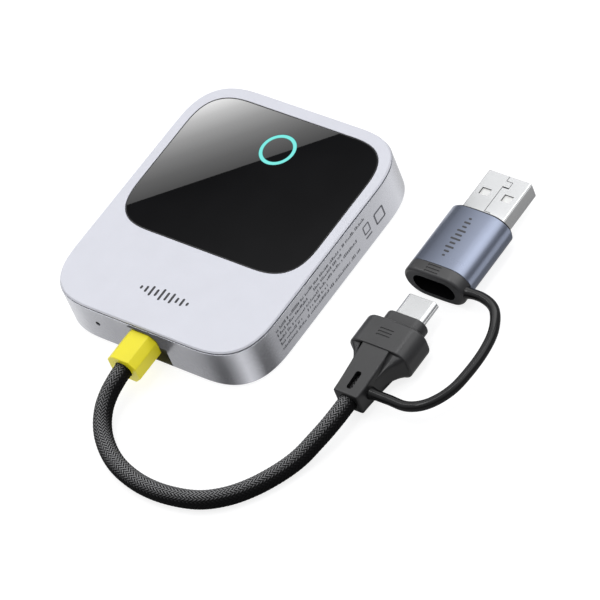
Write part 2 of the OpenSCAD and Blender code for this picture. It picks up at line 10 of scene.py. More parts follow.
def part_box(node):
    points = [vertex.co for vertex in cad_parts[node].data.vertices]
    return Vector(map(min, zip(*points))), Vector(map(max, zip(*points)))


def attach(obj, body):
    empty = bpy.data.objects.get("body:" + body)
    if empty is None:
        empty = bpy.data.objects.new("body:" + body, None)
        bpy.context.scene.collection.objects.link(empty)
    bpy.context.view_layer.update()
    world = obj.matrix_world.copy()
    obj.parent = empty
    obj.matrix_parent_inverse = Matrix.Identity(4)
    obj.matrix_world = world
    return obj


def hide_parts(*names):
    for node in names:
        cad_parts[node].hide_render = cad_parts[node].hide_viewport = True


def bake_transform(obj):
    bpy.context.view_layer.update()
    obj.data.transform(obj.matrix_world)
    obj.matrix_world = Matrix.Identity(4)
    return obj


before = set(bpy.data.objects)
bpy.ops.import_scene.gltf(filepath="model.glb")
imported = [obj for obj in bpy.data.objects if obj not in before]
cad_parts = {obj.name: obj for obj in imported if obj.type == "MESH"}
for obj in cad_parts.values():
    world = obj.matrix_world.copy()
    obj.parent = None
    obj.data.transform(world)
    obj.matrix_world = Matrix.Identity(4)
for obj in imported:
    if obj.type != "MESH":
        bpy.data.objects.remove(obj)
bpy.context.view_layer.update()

MM = 0.001
scene = bpy.context.scene
scene.view_settings.view_transform = "Standard"


def span(node):
    """Lowest and highest corner of a CAD node, in millimetres."""
    lo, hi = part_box(node)
    return lo / MM, hi / MM


# ---------------- camera

CAM_AZIMUTH, CAM_ELEVATION, CAM_ROLL = 52.948, 46.918, 23.588
CAM_SHIFT_MM = (13.937, -11.641)
CAM_DISTANCE_MM = 982.7
CAM_LENS_MM, CAM_SENSOR_MM = 254.26, 36


def make_camera():
    """The photo's camera: turned from the front toward the right, raised, rolled, then shifted."""
    a, e = math.radians(CAM_AZIMUTH), math.radians(CAM_ELEVATION)
    right = Vector((math.cos(a), math.sin(a), 0))
    up = Vector((-math.sin(a) * math.sin(e), math.cos(a) * math.sin(e), math.cos(e)))
    back = Vector((math.sin(a) * math.cos(e), -math.cos(a) * math.cos(e), math.sin(e)))
    upright = Matrix((right, up, back))
    turn = upright.transposed() @ Matrix.Rotation(math.radians(CAM_ROLL), 3, "Z").transposed()
    place = turn @ Vector((CAM_SHIFT_MM[0], CAM_SHIFT_MM[1], CAM_DISTANCE_MM)) * MM
    data = bpy.data.cameras.new("camera")
    data.lens, data.sensor_width = CAM_LENS_MM, CAM_SENSOR_MM
    data.clip_start, data.clip_end = 0.05, 20
    cam = bpy.data.objects.new("camera", data)
    scene.collection.objects.link(cam)
    cam.matrix_world = Matrix.Translation(place) @ turn.to_4x4()
    scene.camera = cam
    return cam


camera = make_camera()

# ---------------- levels, in millimetres

body_lo, body_hi = span("side_frame")
lid_hi = span("top_cover")[1]
glass_lo, glass_hi = span("window_panel")
ring_lo, ring_hi = span("light_ring")
head_lo, head_hi = span("plug_housing")
nose_lo, nose_hi = span("plug_collar")
neck_lo = span("plug_neck")[0]
shell_lo, shell_hi = span("usb_c_shell")
core_lo, core_hi = span("usb_c_insulator")
cap_lo, cap_hi = span("adapter_end_cap")
sleeve_lo, sleeve_hi = span("adapter_sleeve")
rim_lo, rim_hi = span("adapter_back_plate")
a_lo, a_hi = span("usb_a_shell")
boot_lo, boot_hi = span("cable_boot")
clamp_lo = span("boot_clamp")[0]

BODY_W, BODY_D = body_hi.x - body_lo.x, body_hi.y - body_lo.y
TOP = lid_hi.z
FRONT = body_lo.y
LINE_X, LINE_Z = (head_lo.x + head_hi.x) / 2, (head_lo.z + head_hi.z) / 2
CABLE_Z = (boot_lo.z + boot_hi.z) / 2
CABLE_R = 2.2
TETHER_R = 1.2
NECK_END, HEAD_BACK, HEAD_FRONT = neck_lo.y, head_lo.y, head_hi.y
NOSE_FRONT, C_TIP = nose_hi.y, shell_hi.y
CAP_FRONT, SLEEVE_FRONT, SLEEVE_BACK = cap_lo.y, sleeve_lo.y, sleeve_hi.y
A_TIP = a_hi.y
TETHER_Y = NECK_END + 4.1
TETHER_CAP_Y = CAP_FRONT + 1.7
CORNER_R, CORNER_P = 16, 2.9
WALL = 1.6
RECESS_W, RECESS_H, RECESS_DEPTH = 12, 6.4, 2.2
PINHOLE_X, PINHOLE_Z, PINHOLE_R = -14.2, 6.5, 0.65
CABLE_HOLE_R = 2.8
FRONT_ROOM_W = 16.1             # room for the cable clamp behind the front wall
BOOT_W, BOOT_H, BOOT_L, BOOT_BEVEL = 8.4, 7.0, 8.6, 1.7
GLASS_W, GLASS_D, GLASS_R = glass_hi.x - glass_lo.x, glass_hi.y - glass_lo.y, 12.4
GLASS_CENTRE = (0, (glass_lo.y + glass_hi.y) / 2)
RING_Y = (ring_lo.y + ring_hi.y) / 2
RING_R, GROOVE_W, GLOW_W = (ring_hi.x - ring_lo.x) / 2, 1, 0.96
GUIDE_HOLE_R = 5.15

CABLE_ROUTE = [
    (0, clamp_lo.y, CABLE_Z), (0, FRONT, CABLE_Z), (0, FRONT - BOOT_L, CABLE_Z),
    (0.1, -47.2, 6.3), (0.1, -50.2, 5.4), (0.7, -53.4, 4.4), (2.4, -56.9, 3.3),
    (5.4, -60.2, 2.6), (9.8, -63.2, 2.3), (15, -65.3, 2.2), (21.5, -66.5, 2.2),
    (28.5, -66.3, 2.2), (35.6, -64.6, 2.2), (41, -61.3, 2.2), (45.2, -56.8, 2.2),
    (48.6, -51.3, 2.3), (51, -46.2, 2.8), (52.6, -41.2, 3.9), (53.6, -36, 4.6),
    (LINE_X, NECK_END, LINE_Z), (LINE_X, HEAD_BACK - 1, LINE_Z),
]
TETHER_ROUTE = [
    (LINE_X + 2.9, TETHER_Y, LINE_Z), (LINE_X + 8.5, TETHER_Y, LINE_Z), (67.3, -25.3, LINE_Z),
    (71.3, -22.8, LINE_Z), (74.1, -17.8, LINE_Z), (75, -11.7, LINE_Z), (74.9, -5, LINE_Z),
    (73.6, 0.7, LINE_Z), (70.5, 5.5, LINE_Z), (66.2, 7.3, LINE_Z),
    (LINE_X + 7.3, TETHER_CAP_Y, LINE_Z),
]

# ---------------- mesh tools


def add_object(name, verts, faces, uvs=None, sharp=35):
    """A mesh object from points in millimetres, smooth but for its sharp edges."""
    mesh = bpy.data.meshes.new(name)
    mesh.from_pydata([tuple(c * MM for c in p) for p in verts], [], faces)
    if uvs is not None:
        layer = mesh.uv_layers.new(name="lay")
        layer.data.foreach_set("uv", np.asarray(uvs, np.float32).ravel())
    mesh.validate()
    obj = bpy.data.objects.new(name, mesh)
    scene.collection.objects.link(obj)
    smooth(obj, sharp)
    return obj


def smooth(obj, sharp):
    obj.data.shade_smooth()
    obj.data.set_sharp_from_angle(angle=math.radians(sharp))


def solid(name, verts, faces, uvs=None, sharp=35):
    """A closed mesh object with its faces turned outward."""
    obj = add_object(name, verts, faces, uvs, sharp)
    bm = bmesh.new()
    bm.from_mesh(obj.data)
    bmesh.ops.recalc_face_normals(bm, faces=bm.faces)
    bm.to_mesh(obj.data)
    bm.free()
    return obj


def skin(name, rings, loop=False, sharp=35):
    """Quads between successive rings of points; the first and last rings are closed, or joined."""
    n, count = len(rings[0]), len(rings)
    verts = [p for ring in rings for p in ring]
    faces = []
    for i in range(count if loop else count - 1):
        j = (i + 1) % count
        faces += [(i * n + k, i * n + (k + 1) % n, j * n + (k + 1) % n, j * n + k)
                  for k in range(n)]
    if not loop:
        faces += [tuple(range(n))[::-1], tuple(range((count - 1) * n, count * n))]
    return solid(name, verts, faces, sharp=sharp)


def bake(obj):
    """Turns the object's modifiers into plain mesh."""
    graph = bpy.context.evaluated_depsgraph_get()
    mesh = bpy.data.meshes.new_from_object(obj.evaluated_get(graph))
    obj.modifiers.clear()
    obj.data = mesh


def cut(obj, *cutters, how="DIFFERENCE"):
    """Takes the cutters away from the object, or with UNION adds them to it."""
    for c in cutters:
        m = obj.modifiers.new("cut", "BOOLEAN")
        m.operation, m.object, m.solver = how, c, "EXACT"
        bake(obj)
        smooth(obj, 35)
        bpy.data.objects.remove(c)
    return obj


def soften(obj, width, segments, angle):
    """Rounds the sharp edges and evens the shading of the flats beside them."""
    m = obj.modifiers.new("round", "BEVEL")
    m.width, m.segments, m.limit_method = width * MM, segments, "ANGLE"
    m.angle_limit = math.radians(angle)
    m.use_clamp_overlap = True
    bake(obj)
    smooth(obj, 60)
    return even(obj)


def even(obj):
    """Shades large faces flat and lets the small ones beside them turn."""
    m = obj.modifiers.new("even", "WEIGHTED_NORMAL")
    m.keep_sharp = True
    m.weight = 80
    bake(obj)
    return obj


def box(name, lo, hi):
    x, y, z = zip(lo, hi)
    verts = [(x[i], y[j], z[k]) for i in (0, 1) for j in (0, 1) for k in (0, 1)]
    faces = [(0, 1, 3, 2), (4, 6, 7, 5), (0, 4, 5, 1), (2, 3, 7, 6), (0, 2, 6, 4), (1, 5, 7, 3)]
    return solid(name, verts, faces)


def middle_box(name, width, y0, y1, z0, z1):
    """A box centred on the puck's width."""
    return box(name, (-width / 2, y0, z0), (width / 2, y1, z1))


def rod(name, start, end, radius, sides=32):
    a, b = Vector(start), Vector(end)
    turn = (b - a).to_track_quat("Z", "Y")
    ring = [Vector((radius * math.cos(t), radius * math.sin(t), 0))
            for t in (2 * math.pi * k / sides for k in range(sides))]
    return skin(name, [[tuple(c + turn @ p) for p in ring] for c in (a, b)])


def rod_y(x, z, y0, y1, radius, sides=32):
    return rod("rod", (x, y0, z), (x, y1, z), radius, sides)


def tether_hole(x0, x1, y):
    return rod("hole", (LINE_X + x0, y, LINE_Z), (LINE_X + x1, y, LINE_Z), TETHER_R + 0.12, 24)


# Outlines. Each returns points round the centre, in the plane of the part.

def soft_rect(w, d, r, steps=26, power=CORNER_P):
    """A rectangle whose corners are quarters of a superellipse."""
    points = []
    for k, (sx, sy) in enumerate(((1, 1), (-1, 1), (-1, -1), (1, -1))):
        for i in range(steps + 1):
            t = math.pi / 2 * (k + i / steps)
            c, s = math.cos(t), math.sin(t)
            size = r / (abs(c) ** power + abs(s) ** power) ** (1 / power)
            points.append((sx * (w / 2 - r) + size * c, sy * (d / 2 - r) + size * s))
    return points


def pill(w, t, r, steps=10):
    """A rectangle with round corners."""
    return soft_rect(w, t, min(r, w / 2 - 0.001, t / 2 - 0.001), steps, 2)


def crowned(w, t, r, crown):
    """A pill whose top and bottom bulge a little in the middle."""
    corners, across = pill(w, t, r, 12), 10
    points = []
    for a, b in zip(corners, corners[1:] + corners[:1]):
        long_side = abs(b[0] - a[0]) > w / 6
        for k in range(across if long_side else 1):
            points.append((a[0] + (b[0] - a[0]) * k / across, a[1] + (b[1] - a[1]) * k / across))
    return [(x, z * (1 - 2 * crown / t * (2 * x / w) ** 2)) for x, z in points]


def shrinking(draw, w, t, r, *more):
    """The outline as a function of an inset."""
    return lambda inset: draw(w - 2 * inset, t - 2 * inset, r - inset, *more)


def level(outline, z, centre=(0, 0)):
    return [(centre[0] + x, centre[1] + y, z) for x, y in outline]


def upright(outline, y):
    """An outline in X and Z on the plug's centre line, at one Y."""
    return [(LINE_X + a, y, LINE_Z + b) for a, b in outline]


def quarter(r, steps=4):
    """Depth and inset along a quarter round, from the end face to the side."""
    return [(r * (1 - math.cos(a)), r * (1 - math.sin(a)))
            for a in (math.pi / 2 * i / steps for i in range(steps + 1))]


def bar(outline, y0, y1, r0, r1):
    """Rings of a bar along Y with a quarter round at each end."""
    stations = ([(y0 + d, i) for d, i in quarter(r0)]
                + [(y1 - d, i) for d, i in reversed(quarter(r1))])
    return [upright(outline(i), y) for y, i in stations]


def prism(name, outline, y0, y1):
    return skin(name, [upright(outline, y) for y in (y0, y1)])


def hollow(name, outer, inner, y0, y1, r0, r1, sharp=35):
    """A tube along Y from two outlines that take an inset, its outer rims rounded."""
    lip = 0.12
    inside = [upright(inner(0 if k else -lip), y)
              for k, y in ((0, y1), (1, y1 - lip), (1, y0 + lip), (0, y0))]
    return skin(name, bar(outer, y0, y1, r0, r1) + inside, loop=True, sharp=sharp)


# ---------------- swept tubes


def spline(route, steps=24):
    p = [Vector(q) for q in route]
    n = len(p) - 1
    points = []
    for i in range(n):
        a, b, c, d = p[max(i - 1, 0)], p[i], p[i + 1], p[min(i + 2, n)]
        for k in range(steps):
            t = k / steps
            points.append(0.5 * (2 * b + (c - a) * t + (2 * a - 5 * b + 4 * c - d) * t * t
                                 + (3 * b - a - 3 * c + d) * t ** 3))
    points.append(p[n])
    return np.array(points)


def resample(points, spacing):
    """The same line with points an even distance apart, and that distance along it."""
    along = np.concatenate([[0], np.cumsum(np.linalg.norm(np.diff(points, axis=0), axis=1))])
    count = int(round(along[-1] / spacing))
    s = np.linspace(0, along[-1], count + 1)
    return np.stack([np.interp(s, along, points[:, c]) for c in range(3)], 1), s


def carried_frames(points):
    """Two directions square to the line at each point, carried along it without twist."""
    heading = np.gradient(points, axis=0)
    heading /= np.linalg.norm(heading, axis=1)[:, None]
    side = np.cross(heading[0], (0, 0, 1.0))
    sides = []
    for h in heading:
        side = side - h * (side @ h)
        side /= np.linalg.norm(side)
        sides.append(side)
    sides = np.array(sides)
    return sides, np.cross(sides, heading)


def tube(name, points, s, radii, sides):
    """A tube mesh; radii is one number, or an array of one per ring and side."""
    u, v = carried_frames(points)
    angle = 2 * np.pi * np.arange(sides) / sides
    radii = np.broadcast_to(radii, (len(points), sides))
    verts = (points[:, None] + radii[..., None] * (u[:, None] * np.cos(angle)[None, :, None]
                                                   + v[:, None] * np.sin(angle)[None, :, None]))
    rows, uvs, faces = len(points), [], []
    turn = np.arange(sides + 1) / sides
    for i in range(rows - 1):
        for k in range(sides):
            m = (k + 1) % sides
            faces.append((i * sides + k, i * sides + m, (i + 1) * sides + m, (i + 1) * sides + k))
            uvs += [(turn[k], s[i]), (turn[k + 1], s[i]),
                    (turn[k + 1], s[i + 1]), (turn[k], s[i + 1])]
    faces += [tuple(range(sides))[::-1], tuple(range((rows - 1) * sides, rows * sides))]
    uvs += [(0, 0)] * (2 * sides)
    return solid(name, verts.reshape(-1, 3).tolist(), faces, uvs, sharp=60)


def cord_path(fine):
    """A cord's path and length in metres."""
    path, along = resample(fine, 1.5)
    return path * MM, along[-1] * MM


# ---------------- braided cable

STRANDS = 19          # each way round the cable
LAY = 17.5            # length of one turn of a strand
RELIEF = 0.09
BRAID_SIDES = 120
BRAID_STEP = 0.125


def braid_height(turn, s):
    """Height of the woven yarns, 0 to 1, at a share of a turn and a distance along."""
    a, b = STRANDS * turn, STRANDS * s / LAY
    u, v = b + a, b - a
    i, j = np.floor(u), np.floor(v)
    over = np.mod(i - j, 4) < 2
    across = np.where(over, u - i, v - j) - 0.5
    float_u = np.mod(v - i + 1, 4) / 2
    float_v = np.mod(u - j - 2, 4) / 2
    lengthwise = np.where(over, float_u, float_v)
    crown = np.sin(np.pi * np.clip(lengthwise, 0, 1))
    return (0.3 + 0.7 * crown) * np.sqrt(np.clip(1 - (2 * across) ** 2, 0, 1))


def make_cable():
    fine = spline(CABLE_ROUTE)
    points, s = resample(fine, BRAID_STEP)
    turn = np.arange(BRAID_SIDES) / BRAID_SIDES
    height = braid_height(turn[None, :], s[:, None])
    radii = CABLE_R - RELIEF + RELIEF * height
    obj = tube("braided_cable", points, s, radii, BRAID_SIDES)
    return (obj, *cord_path(fine))


def make_tether():
    fine = spline(TETHER_ROUTE)
    points, s = resample(fine, 0.45)
    from_end = np.minimum(s, s[-1] - s)
    # a thicker root at each end, easing to the strap
    radii = TETHER_R + 0.42 * np.exp(-(from_end / 1.5) ** 2)
    obj = tube("tether_loop", points, s, radii[:, None], 28)
    return (obj, *cord_path(fine))


cable, cable_path, cable_length = make_cable()
tether, tether_path, tether_length = make_tether()

# ---------------- puck


puck = shrinking(soft_rect, BODY_W, BODY_D, CORNER_R)
glass_outline = shrinking(soft_rect, GLASS_W, GLASS_D, GLASS_R)


def make_side_wall():
    lo, hi = body_lo.z, body_hi.z
    profile = [(lo, WALL), (lo, 0.4), (lo + 0.06, 0.2), (lo + 0.2, 0.06), (lo + 0.45, 0),
               (hi - 0.14, 0), (hi - 0.04, 0.04), (hi, 0.14), (hi, WALL)]
    wall = skin("side_wall", [level(puck(i), z) for z, i in profile], loop=True)
    recess = middle_box("recess", RECESS_W, FRONT - 2, FRONT + RECESS_DEPTH, lo - 1, RECESS_H)
    bore = rod_y(0, CABLE_Z, FRONT - 2, FRONT + 5, CABLE_HOLE_R, 48)
    pin = rod_y(PINHOLE_X, PINHOLE_Z, FRONT - 2, FRONT + 3, PINHOLE_R)
    cut(wall, recess, bore, pin)
    return even(wall)


def make_recess_block():
    """The dark lining of the cable recess."""
    block = middle_box("recess_block", 16, FRONT + WALL, FRONT + WALL + 1.9,
                       body_lo.z + 0.05, body_hi.z - 0.1)
    pocket = middle_box("pocket", RECESS_W - 0.04, FRONT - 2, FRONT + RECESS_DEPTH,
                        -1, RECESS_H - 0.02)
    cut(block, pocket, rod_y(0, CABLE_Z, FRONT - 2, FRONT + 6, CABLE_HOLE_R, 48))
    lip = box("lip", (-RECESS_W / 2 + 0.02, FRONT + 0.15, body_lo.z + 0.05),
              (RECESS_W / 2 - 0.02, FRONT + RECESS_DEPTH + 0.5, body_lo.z + 0.4))
    return cut(block, lip, how="UNION")


def glass_edge(inset, z):
    return level(glass_outline(inset), z, GLASS_CENTRE)


def make_top_plate():
    low, step, high = lid_hi.z - 0.5, 0.2, lid_hi.z
    ceiling, skirt = glass_lo.z - 0.8, glass_lo.z - 2.6
    outside = ((2.85, ceiling), (2.85, skirt), (1.65, skirt), (1.65, low), (step, low),
               (step, high - 0.27), (step + 0.02, high - 0.25), (step + 0.23, high - 0.02),
               (step + 0.26, high), (step + 0.4, high))
    opening = ((0.3, high), (0.17, high), (0.12, high - 0.05), (0.12, glass_lo.z - 0.15))
    rings = [level(puck(i), z) for i, z in outside] + [glass_edge(-gap, z) for gap, z in opening]
    plate = skin("top_plate", rings, sharp=25)
    window = rod("aperture", (0, RING_Y, ceiling - 1), (0, RING_Y, TOP + 1), GUIDE_HOLE_R, 64)
    front = middle_box("front_room", FRONT_ROOM_W, FRONT, clamp_lo.y, ceiling - 3, low - 0.05)
    cut(plate, window, front)
    smooth(plate, 25)
    return even(plate)


def make_window():
    """The glass with its ring groove; its outline is carried in to the groove point by point."""
    r_out = RING_R + 0.02
    r_in, floor = r_out - GROOVE_W, ring_lo.z

    def edge(inset, z):
        corners = glass_edge(inset, z)
        points = []
        for p, q in zip(corners, corners[1:] + corners[:1]):
            # long sides in steps, so that the ring's circles stay round
            parts = 16 if math.dist(p, q) > 3 else 1
            points += [tuple(Vector(p).lerp(Vector(q), k / parts)) for k in range(parts)]
        return points

    outline = edge(0.12, TOP)

    def circle(r, z):
        angles = [math.atan2(y - RING_Y, x) for x, y, _ in outline]
        return [(r * math.cos(a), RING_Y + r * math.sin(a), z) for a in angles]

    rings = [edge(0, glass_lo.z), edge(0, TOP - 0.12), edge(0.035, TOP - 0.035), outline,
             edge(0.2, TOP), edge(0.3, TOP), circle(r_out + 0.2, TOP), circle(r_out, TOP),
             circle(r_out, floor), circle(r_in, floor), circle(r_in, TOP), circle(r_in - 0.2, TOP)]
    return skin("window_glass", rings, sharp=30)


def make_glow_line():
    r_out, r_in = RING_R, RING_R - GLOW_W
    top, low = TOP + 0.012, ring_lo.z
    profile = [(r_out, low), (r_out, TOP - 0.02), (r_out - 0.06, TOP), (r_out - 0.3, top),
               (r_in + 0.3, top), (r_in + 0.06, TOP), (r_in, TOP - 0.02), (r_in, low)]
    angles = [2 * math.pi * k / 160 for k in range(160)]
    rings = [[(r * math.cos(a), RING_Y + r * math.sin(a), z) for a in angles] for r, z in profile]
    return skin("glow_line", rings, loop=True, sharp=50)


def make_base_plate():
    profile = ((0.62, 6), (0.4, 6), (0.4, 1.85), (0.5, 1.67), (1.8, 1.65))
    plate = skin("base_plate", [level(puck(i), z) for z, i in profile], sharp=30)
    front = middle_box("front_room", FRONT_ROOM_W, FRONT, FRONT + WALL + 1.95, 0, 3)
    return even(cut(plate, front))


def make_grip_pad():
    profile = ((0.6, 6.1), (0.25, 6.1), (0.08, 6.18), (0, 6.4), (0, 8.2), (0.14, 8.35),
               (0.14, 9.05), (0, 9.2))
    return even(skin("grip_pad", [level(puck(i), z) for z, i in profile], sharp=50))


def octagon(w, h, bevel):
    x, y, u, v = w / 2, h / 2, w / 2 - bevel, h / 2 - bevel
    return [(-u, -y), (u, -y), (x, -v), (x, v), (u, y), (-u, y), (-x, v), (-x, -v)]


def make_boot():
    y0, y1 = FRONT - BOOT_L, FRONT - 0.05
    outline = octagon(BOOT_W, BOOT_H, BOOT_BEVEL)
    head = skin("boot_moulding", [[(x, y, CABLE_Z + z) for x, z in outline] for y in (y1, y0)],
                sharp=20)
    soften(head, 0.2, 3, 20)
    shank = rod_y(0, CABLE_Z, y1 - 1, boot_hi.y - 1, CABLE_HOLE_R - 0.05, 48)
    flange = box("flange", (boot_lo.x, boot_hi.y - 1.5, boot_lo.z),
                 (boot_hi.x, boot_hi.y, boot_hi.z))
    cut(head, shank, flange, how="UNION")
    cut(head, rod_y(0, CABLE_Z, y0 - 1, boot_hi.y + 1, CABLE_R + 0.12, 48))
    smooth(head, 40)
    return even(head)


# ---------------- plug


head_outline = shrinking(crowned, head_hi.x - head_lo.x, head_hi.z - head_lo.z, 3.6, 0.35)
nose_t, shell_t = nose_hi.z - nose_lo.z, shell_hi.z - shell_lo.z
nose_outline = shrinking(pill, nose_hi.x - nose_lo.x, nose_t, nose_t / 2 - 0.1, 12)
c_outline = shrinking(pill, shell_hi.x - shell_lo.x, shell_t, shell_t / 2 - 0.02, 12)
mouth_outline = shrinking(crowned, 11.4, 5.6, 2.78, 0)
adapter_outline = shrinking(crowned, sleeve_hi.x - sleeve_lo.x, sleeve_hi.z - sleeve_lo.z, 4.3, 0.6)


def grooves(y, top):
    """Cutters for three short grooves in a top face."""
    pitch, half_l, half_w, depth = 0.9, 1.8, 0.2, 0.16
    return [box("groove", (LINE_X - half_l, y + pitch * k - half_w, top - depth),
                (LINE_X + half_l, y + pitch * k + half_w, top + 1)) for k in (-1, 0, 1)]


def make_plug_head():
    head = skin("plug_head", bar(head_outline, HEAD_BACK, HEAD_FRONT, 0.35, 0.8), sharp=40)
    room = rod_y(LINE_X, LINE_Z, HEAD_BACK - 1, HEAD_BACK + 1.5, CABLE_R + 0.1)
    inside = prism("inside", pill(13.9, 7, 2.4), HEAD_BACK + 0.9, HEAD_FRONT - 0.9)
    mouth = prism("mouth", pill(8.85, 3, 1.4), HEAD_FRONT - 2, HEAD_FRONT + 1)
    cut(head, inside, room, mouth, *grooves((HEAD_BACK + HEAD_FRONT) / 2, head_hi.z))
    return even(head)


def make_nose():
    return even(hollow("plug_nose", nose_outline, lambda i: c_outline(i - 0.03),
                       HEAD_FRONT, NOSE_FRONT, 0.05, 0.45))


def make_c_shell():
    return even(hollow("c_plug_shell", c_outline, lambda i: c_outline(i + 0.25),
                       shell_lo.y, C_TIP, 0.02, 0.1, 50))


def make_c_core():
    core = prism("c_plug_core", c_outline(0.28), core_lo.y, core_hi.y)
    return even(cut(core, prism("slot", pill(6.95, 0.9, 0.2, 4), NOSE_FRONT, C_TIP + 1)))


def neck_section(w, h, fw, fh, y):
    """The neck's outline at one Y: a bar of half size w, h with a flare of half size fw, fh.

    A quarter is drawn from the top down, then mirrored twice.
    """
    r = 0.55
    spread = max(fw - w, 0)
    rf = min(1.1, spread / 2)
    side = [(0, h), (w - r, h)]
    side += [(w - r + r * math.sin(a), h - r + r * math.cos(a))
             for a in (math.pi / 8 * i for i in range(1, 5))]
    side += [(w + rf - rf * math.cos(a), fh + rf - rf * math.sin(a))
             for a in (math.pi / 10 * i for i in range(6))]
    side += [(fw - rf + rf * math.sin(a) + (0 if spread > 0 else w - fw),
              fh - rf + rf * math.cos(a)) for a in (math.pi / 10 * i for i in range(6))]
    side += [(max(fw, w), fh * 0.45), (max(fw, w), 0)]
    lower = [(x, -z) for x, z in side[::-1][1:]]
    right = side + lower
    left = [(-x, z) for x, z in right[::-1][1:-1]]
    return [(LINE_X + x, y, LINE_Z + z) for x, z in right + left]


NECK_HALF_W, NECK_HALF_H = 3.4, 2.95


def make_neck():
    rings = []
    steps = 30
    for i in range(steps + 1):
        t = i / steps
        y = NECK_END + (HEAD_BACK - NECK_END) * t
        w = NECK_HALF_W + 0.5 * t
        h = NECK_HALF_H + 1.35 * t ** 1.5
        late = max(0, (t - 0.42) / 0.58)
        fw = w + 3.55 * late ** 2.4
        fh = 1.5 + 1.9 * late ** 1.3
        rings.append(neck_section(w, h, fw, fh, y))
    # round the cable end
    ends = []
    for d, inset in quarter(0.35, 3):
        ends.append([(LINE_X + (x - LINE_X) * (1 - inset / NECK_HALF_W), NECK_END + d,
                      LINE_Z + (z - LINE_Z) * (1 - inset / NECK_HALF_H)) for x, _, z in rings[0]])
    neck = skin("neck_moulding", ends + rings[1:], sharp=45)
    bore = rod_y(LINE_X, LINE_Z, NECK_END - 1, HEAD_BACK + 1, CABLE_R + 0.1, 40)
    crimp_room = rod_y(LINE_X, LINE_Z, HEAD_BACK - 2.8, HEAD_BACK + 1, 3.0, 40)
    slot = skin("slot", [[(LINE_X + x, NECK_END + 3.9 + y, z) for x, y in pill(1.5, 4.8, 0.6)]
                         for z in (LINE_Z, LINE_Z + 9)])
    cut(neck, bore, crimp_room, slot, tether_hole(2.8, 4.8, TETHER_Y))
    smooth(neck, 45)
    return even(neck)


# ---------------- adapter


def make_cap():
    outer = bar(adapter_outline, CAP_FRONT, SLEEVE_FRONT - 0.05, 0.75, 0.08)
    spigot = [upright(adapter_outline(1.0), y) for y in (SLEEVE_FRONT - 0.05, cap_hi.y)]
    bore = [upright(crowned(9.04, 3.26, 1.58, 0), y) for y in (cap_hi.y, mouth_back())]
    mouth = [upright(mouth_outline(0), mouth_back())]
    mouth += [upright(mouth_outline(-0.3 + i), CAP_FRONT + d) for d, i in reversed(quarter(0.3))]
    cap = skin("socket_cap", outer + spigot + bore + mouth, loop=True, sharp=40)
    cut(cap, tether_hole(7.1, 10, TETHER_CAP_Y), *grooves(CAP_FRONT + 1.65, cap_hi.z))
    return even(cap)


def paint_mouth_shade(cap):
    """The walls and the back of the socket mouth get the second material, a near-black painted
    shade.
    """
    cap.data.materials.append(materials["mouth_black"])
    for face in cap.data.polygons:
        x, y, z = face.center / MM
        inside = abs(x - LINE_X) < 5.9 and abs(z - LINE_Z) < 3.1
        if inside and y > CAP_FRONT + 0.12:
            face.material_index = 1


def mouth_back():
    return span("socket_shell")[0].y - 0.05


def make_sleeve():
    return even(hollow("metal_sleeve", adapter_outline, lambda i: adapter_outline(0.95 + i),
                       SLEEVE_FRONT, SLEEVE_BACK, 0.12, 0.16, 25))


def make_rim():
    y1 = rim_hi.y
    outer = [upright(adapter_outline(1.0), y) for y in (rim_lo.y, SLEEVE_BACK + 0.05)]
    outer += bar(lambda i: adapter_outline(0.4 + i), SLEEVE_BACK + 0.05, y1, 0.02, 0.25)
    rim = skin("rear_rim", outer, sharp=40)
    return even(cut(rim, box("hole", (a_lo.x - 0.05, rim_lo.y - 1, a_lo.z - 0.05),
                             (a_hi.x + 0.05, y1 + 1, a_hi.z + 0.05))))


# The seam of the plug's shell, in X from the centre line and Y from the tip
SEAM = ((0, 1), (0, -1.5), (1.7, -1.5), (1.7, -3.2), (0, -3.4), (0, -11), (1.5, -11), (1.5, -13.4))
SEAM_HALF_W = 0.07


def make_a_shell():
    w, t = a_hi.x - a_lo.x, a_hi.z - a_lo.z

    def outline(inset):
        return pill(w - 2 * inset, t - 2 * inset, max(0.45 - inset, 0.12), 6)

    shell = hollow("a_plug_shell", outline, lambda i: outline(0.3 + i),
                   a_lo.y, A_TIP, 0.02, 0.1, 40)
    cutters = [box("window", (x - 1.25, A_TIP - 7, a_lo.z - 1), (x + 1.25, A_TIP - 5, a_hi.z + 1))
               for x in (LINE_X - 3.1, LINE_X + 3.1)]
    half = SEAM_HALF_W
    for (x0, y0), (x1, y1) in zip(SEAM, SEAM[1:]):
        cutters.append(box(
            "seam", (LINE_X + min(x0, x1) - half, A_TIP + min(y0, y1) - half, a_hi.z - 0.2),
            (LINE_X + max(x0, x1) + half, A_TIP + max(y0, y1) + half, a_hi.z + 1)))
    return even(cut(shell, *cutters))


def darken_seams(shell):
    """The walls of the seam and of the two windows get the second material."""
    shell.data.materials.append(materials["seam_shadow"])
    for face in shell.data.polygons:
        x, y, z = face.center / MM
        between = a_hi.z - 0.29 < z < a_hi.z - 0.005 and y < A_TIP - 0.3
        if between and abs(x - LINE_X) < (a_hi.x - a_lo.x) / 2 - 0.5:
            face.material_index = 1


# ---------------- printed marks


def flat_shapes(name, shapes, place, thick=0.02):
    """Thin printed shapes: each outline becomes a very low prism."""
    verts, faces = [], []
    for outline in shapes:
        n, base = len(outline), len(verts)
        verts += [place(a, b, 0) for a, b in outline] + [place(a, b, thick) for a, b in outline]
        faces.append(tuple(range(base, base + n))[::-1])
        faces.append(tuple(range(base + n, base + 2 * n)))
        faces += [(base + k, base + (k + 1) % n, base + n + (k + 1) % n, base + n + k)
                  for k in range(n)]
    return solid(name, verts, faces)


def capsule(a, b, w, h, steps=5):
    return [(a + x, b + y) for x, y in pill(w, h, min(w, h) / 2, steps)]


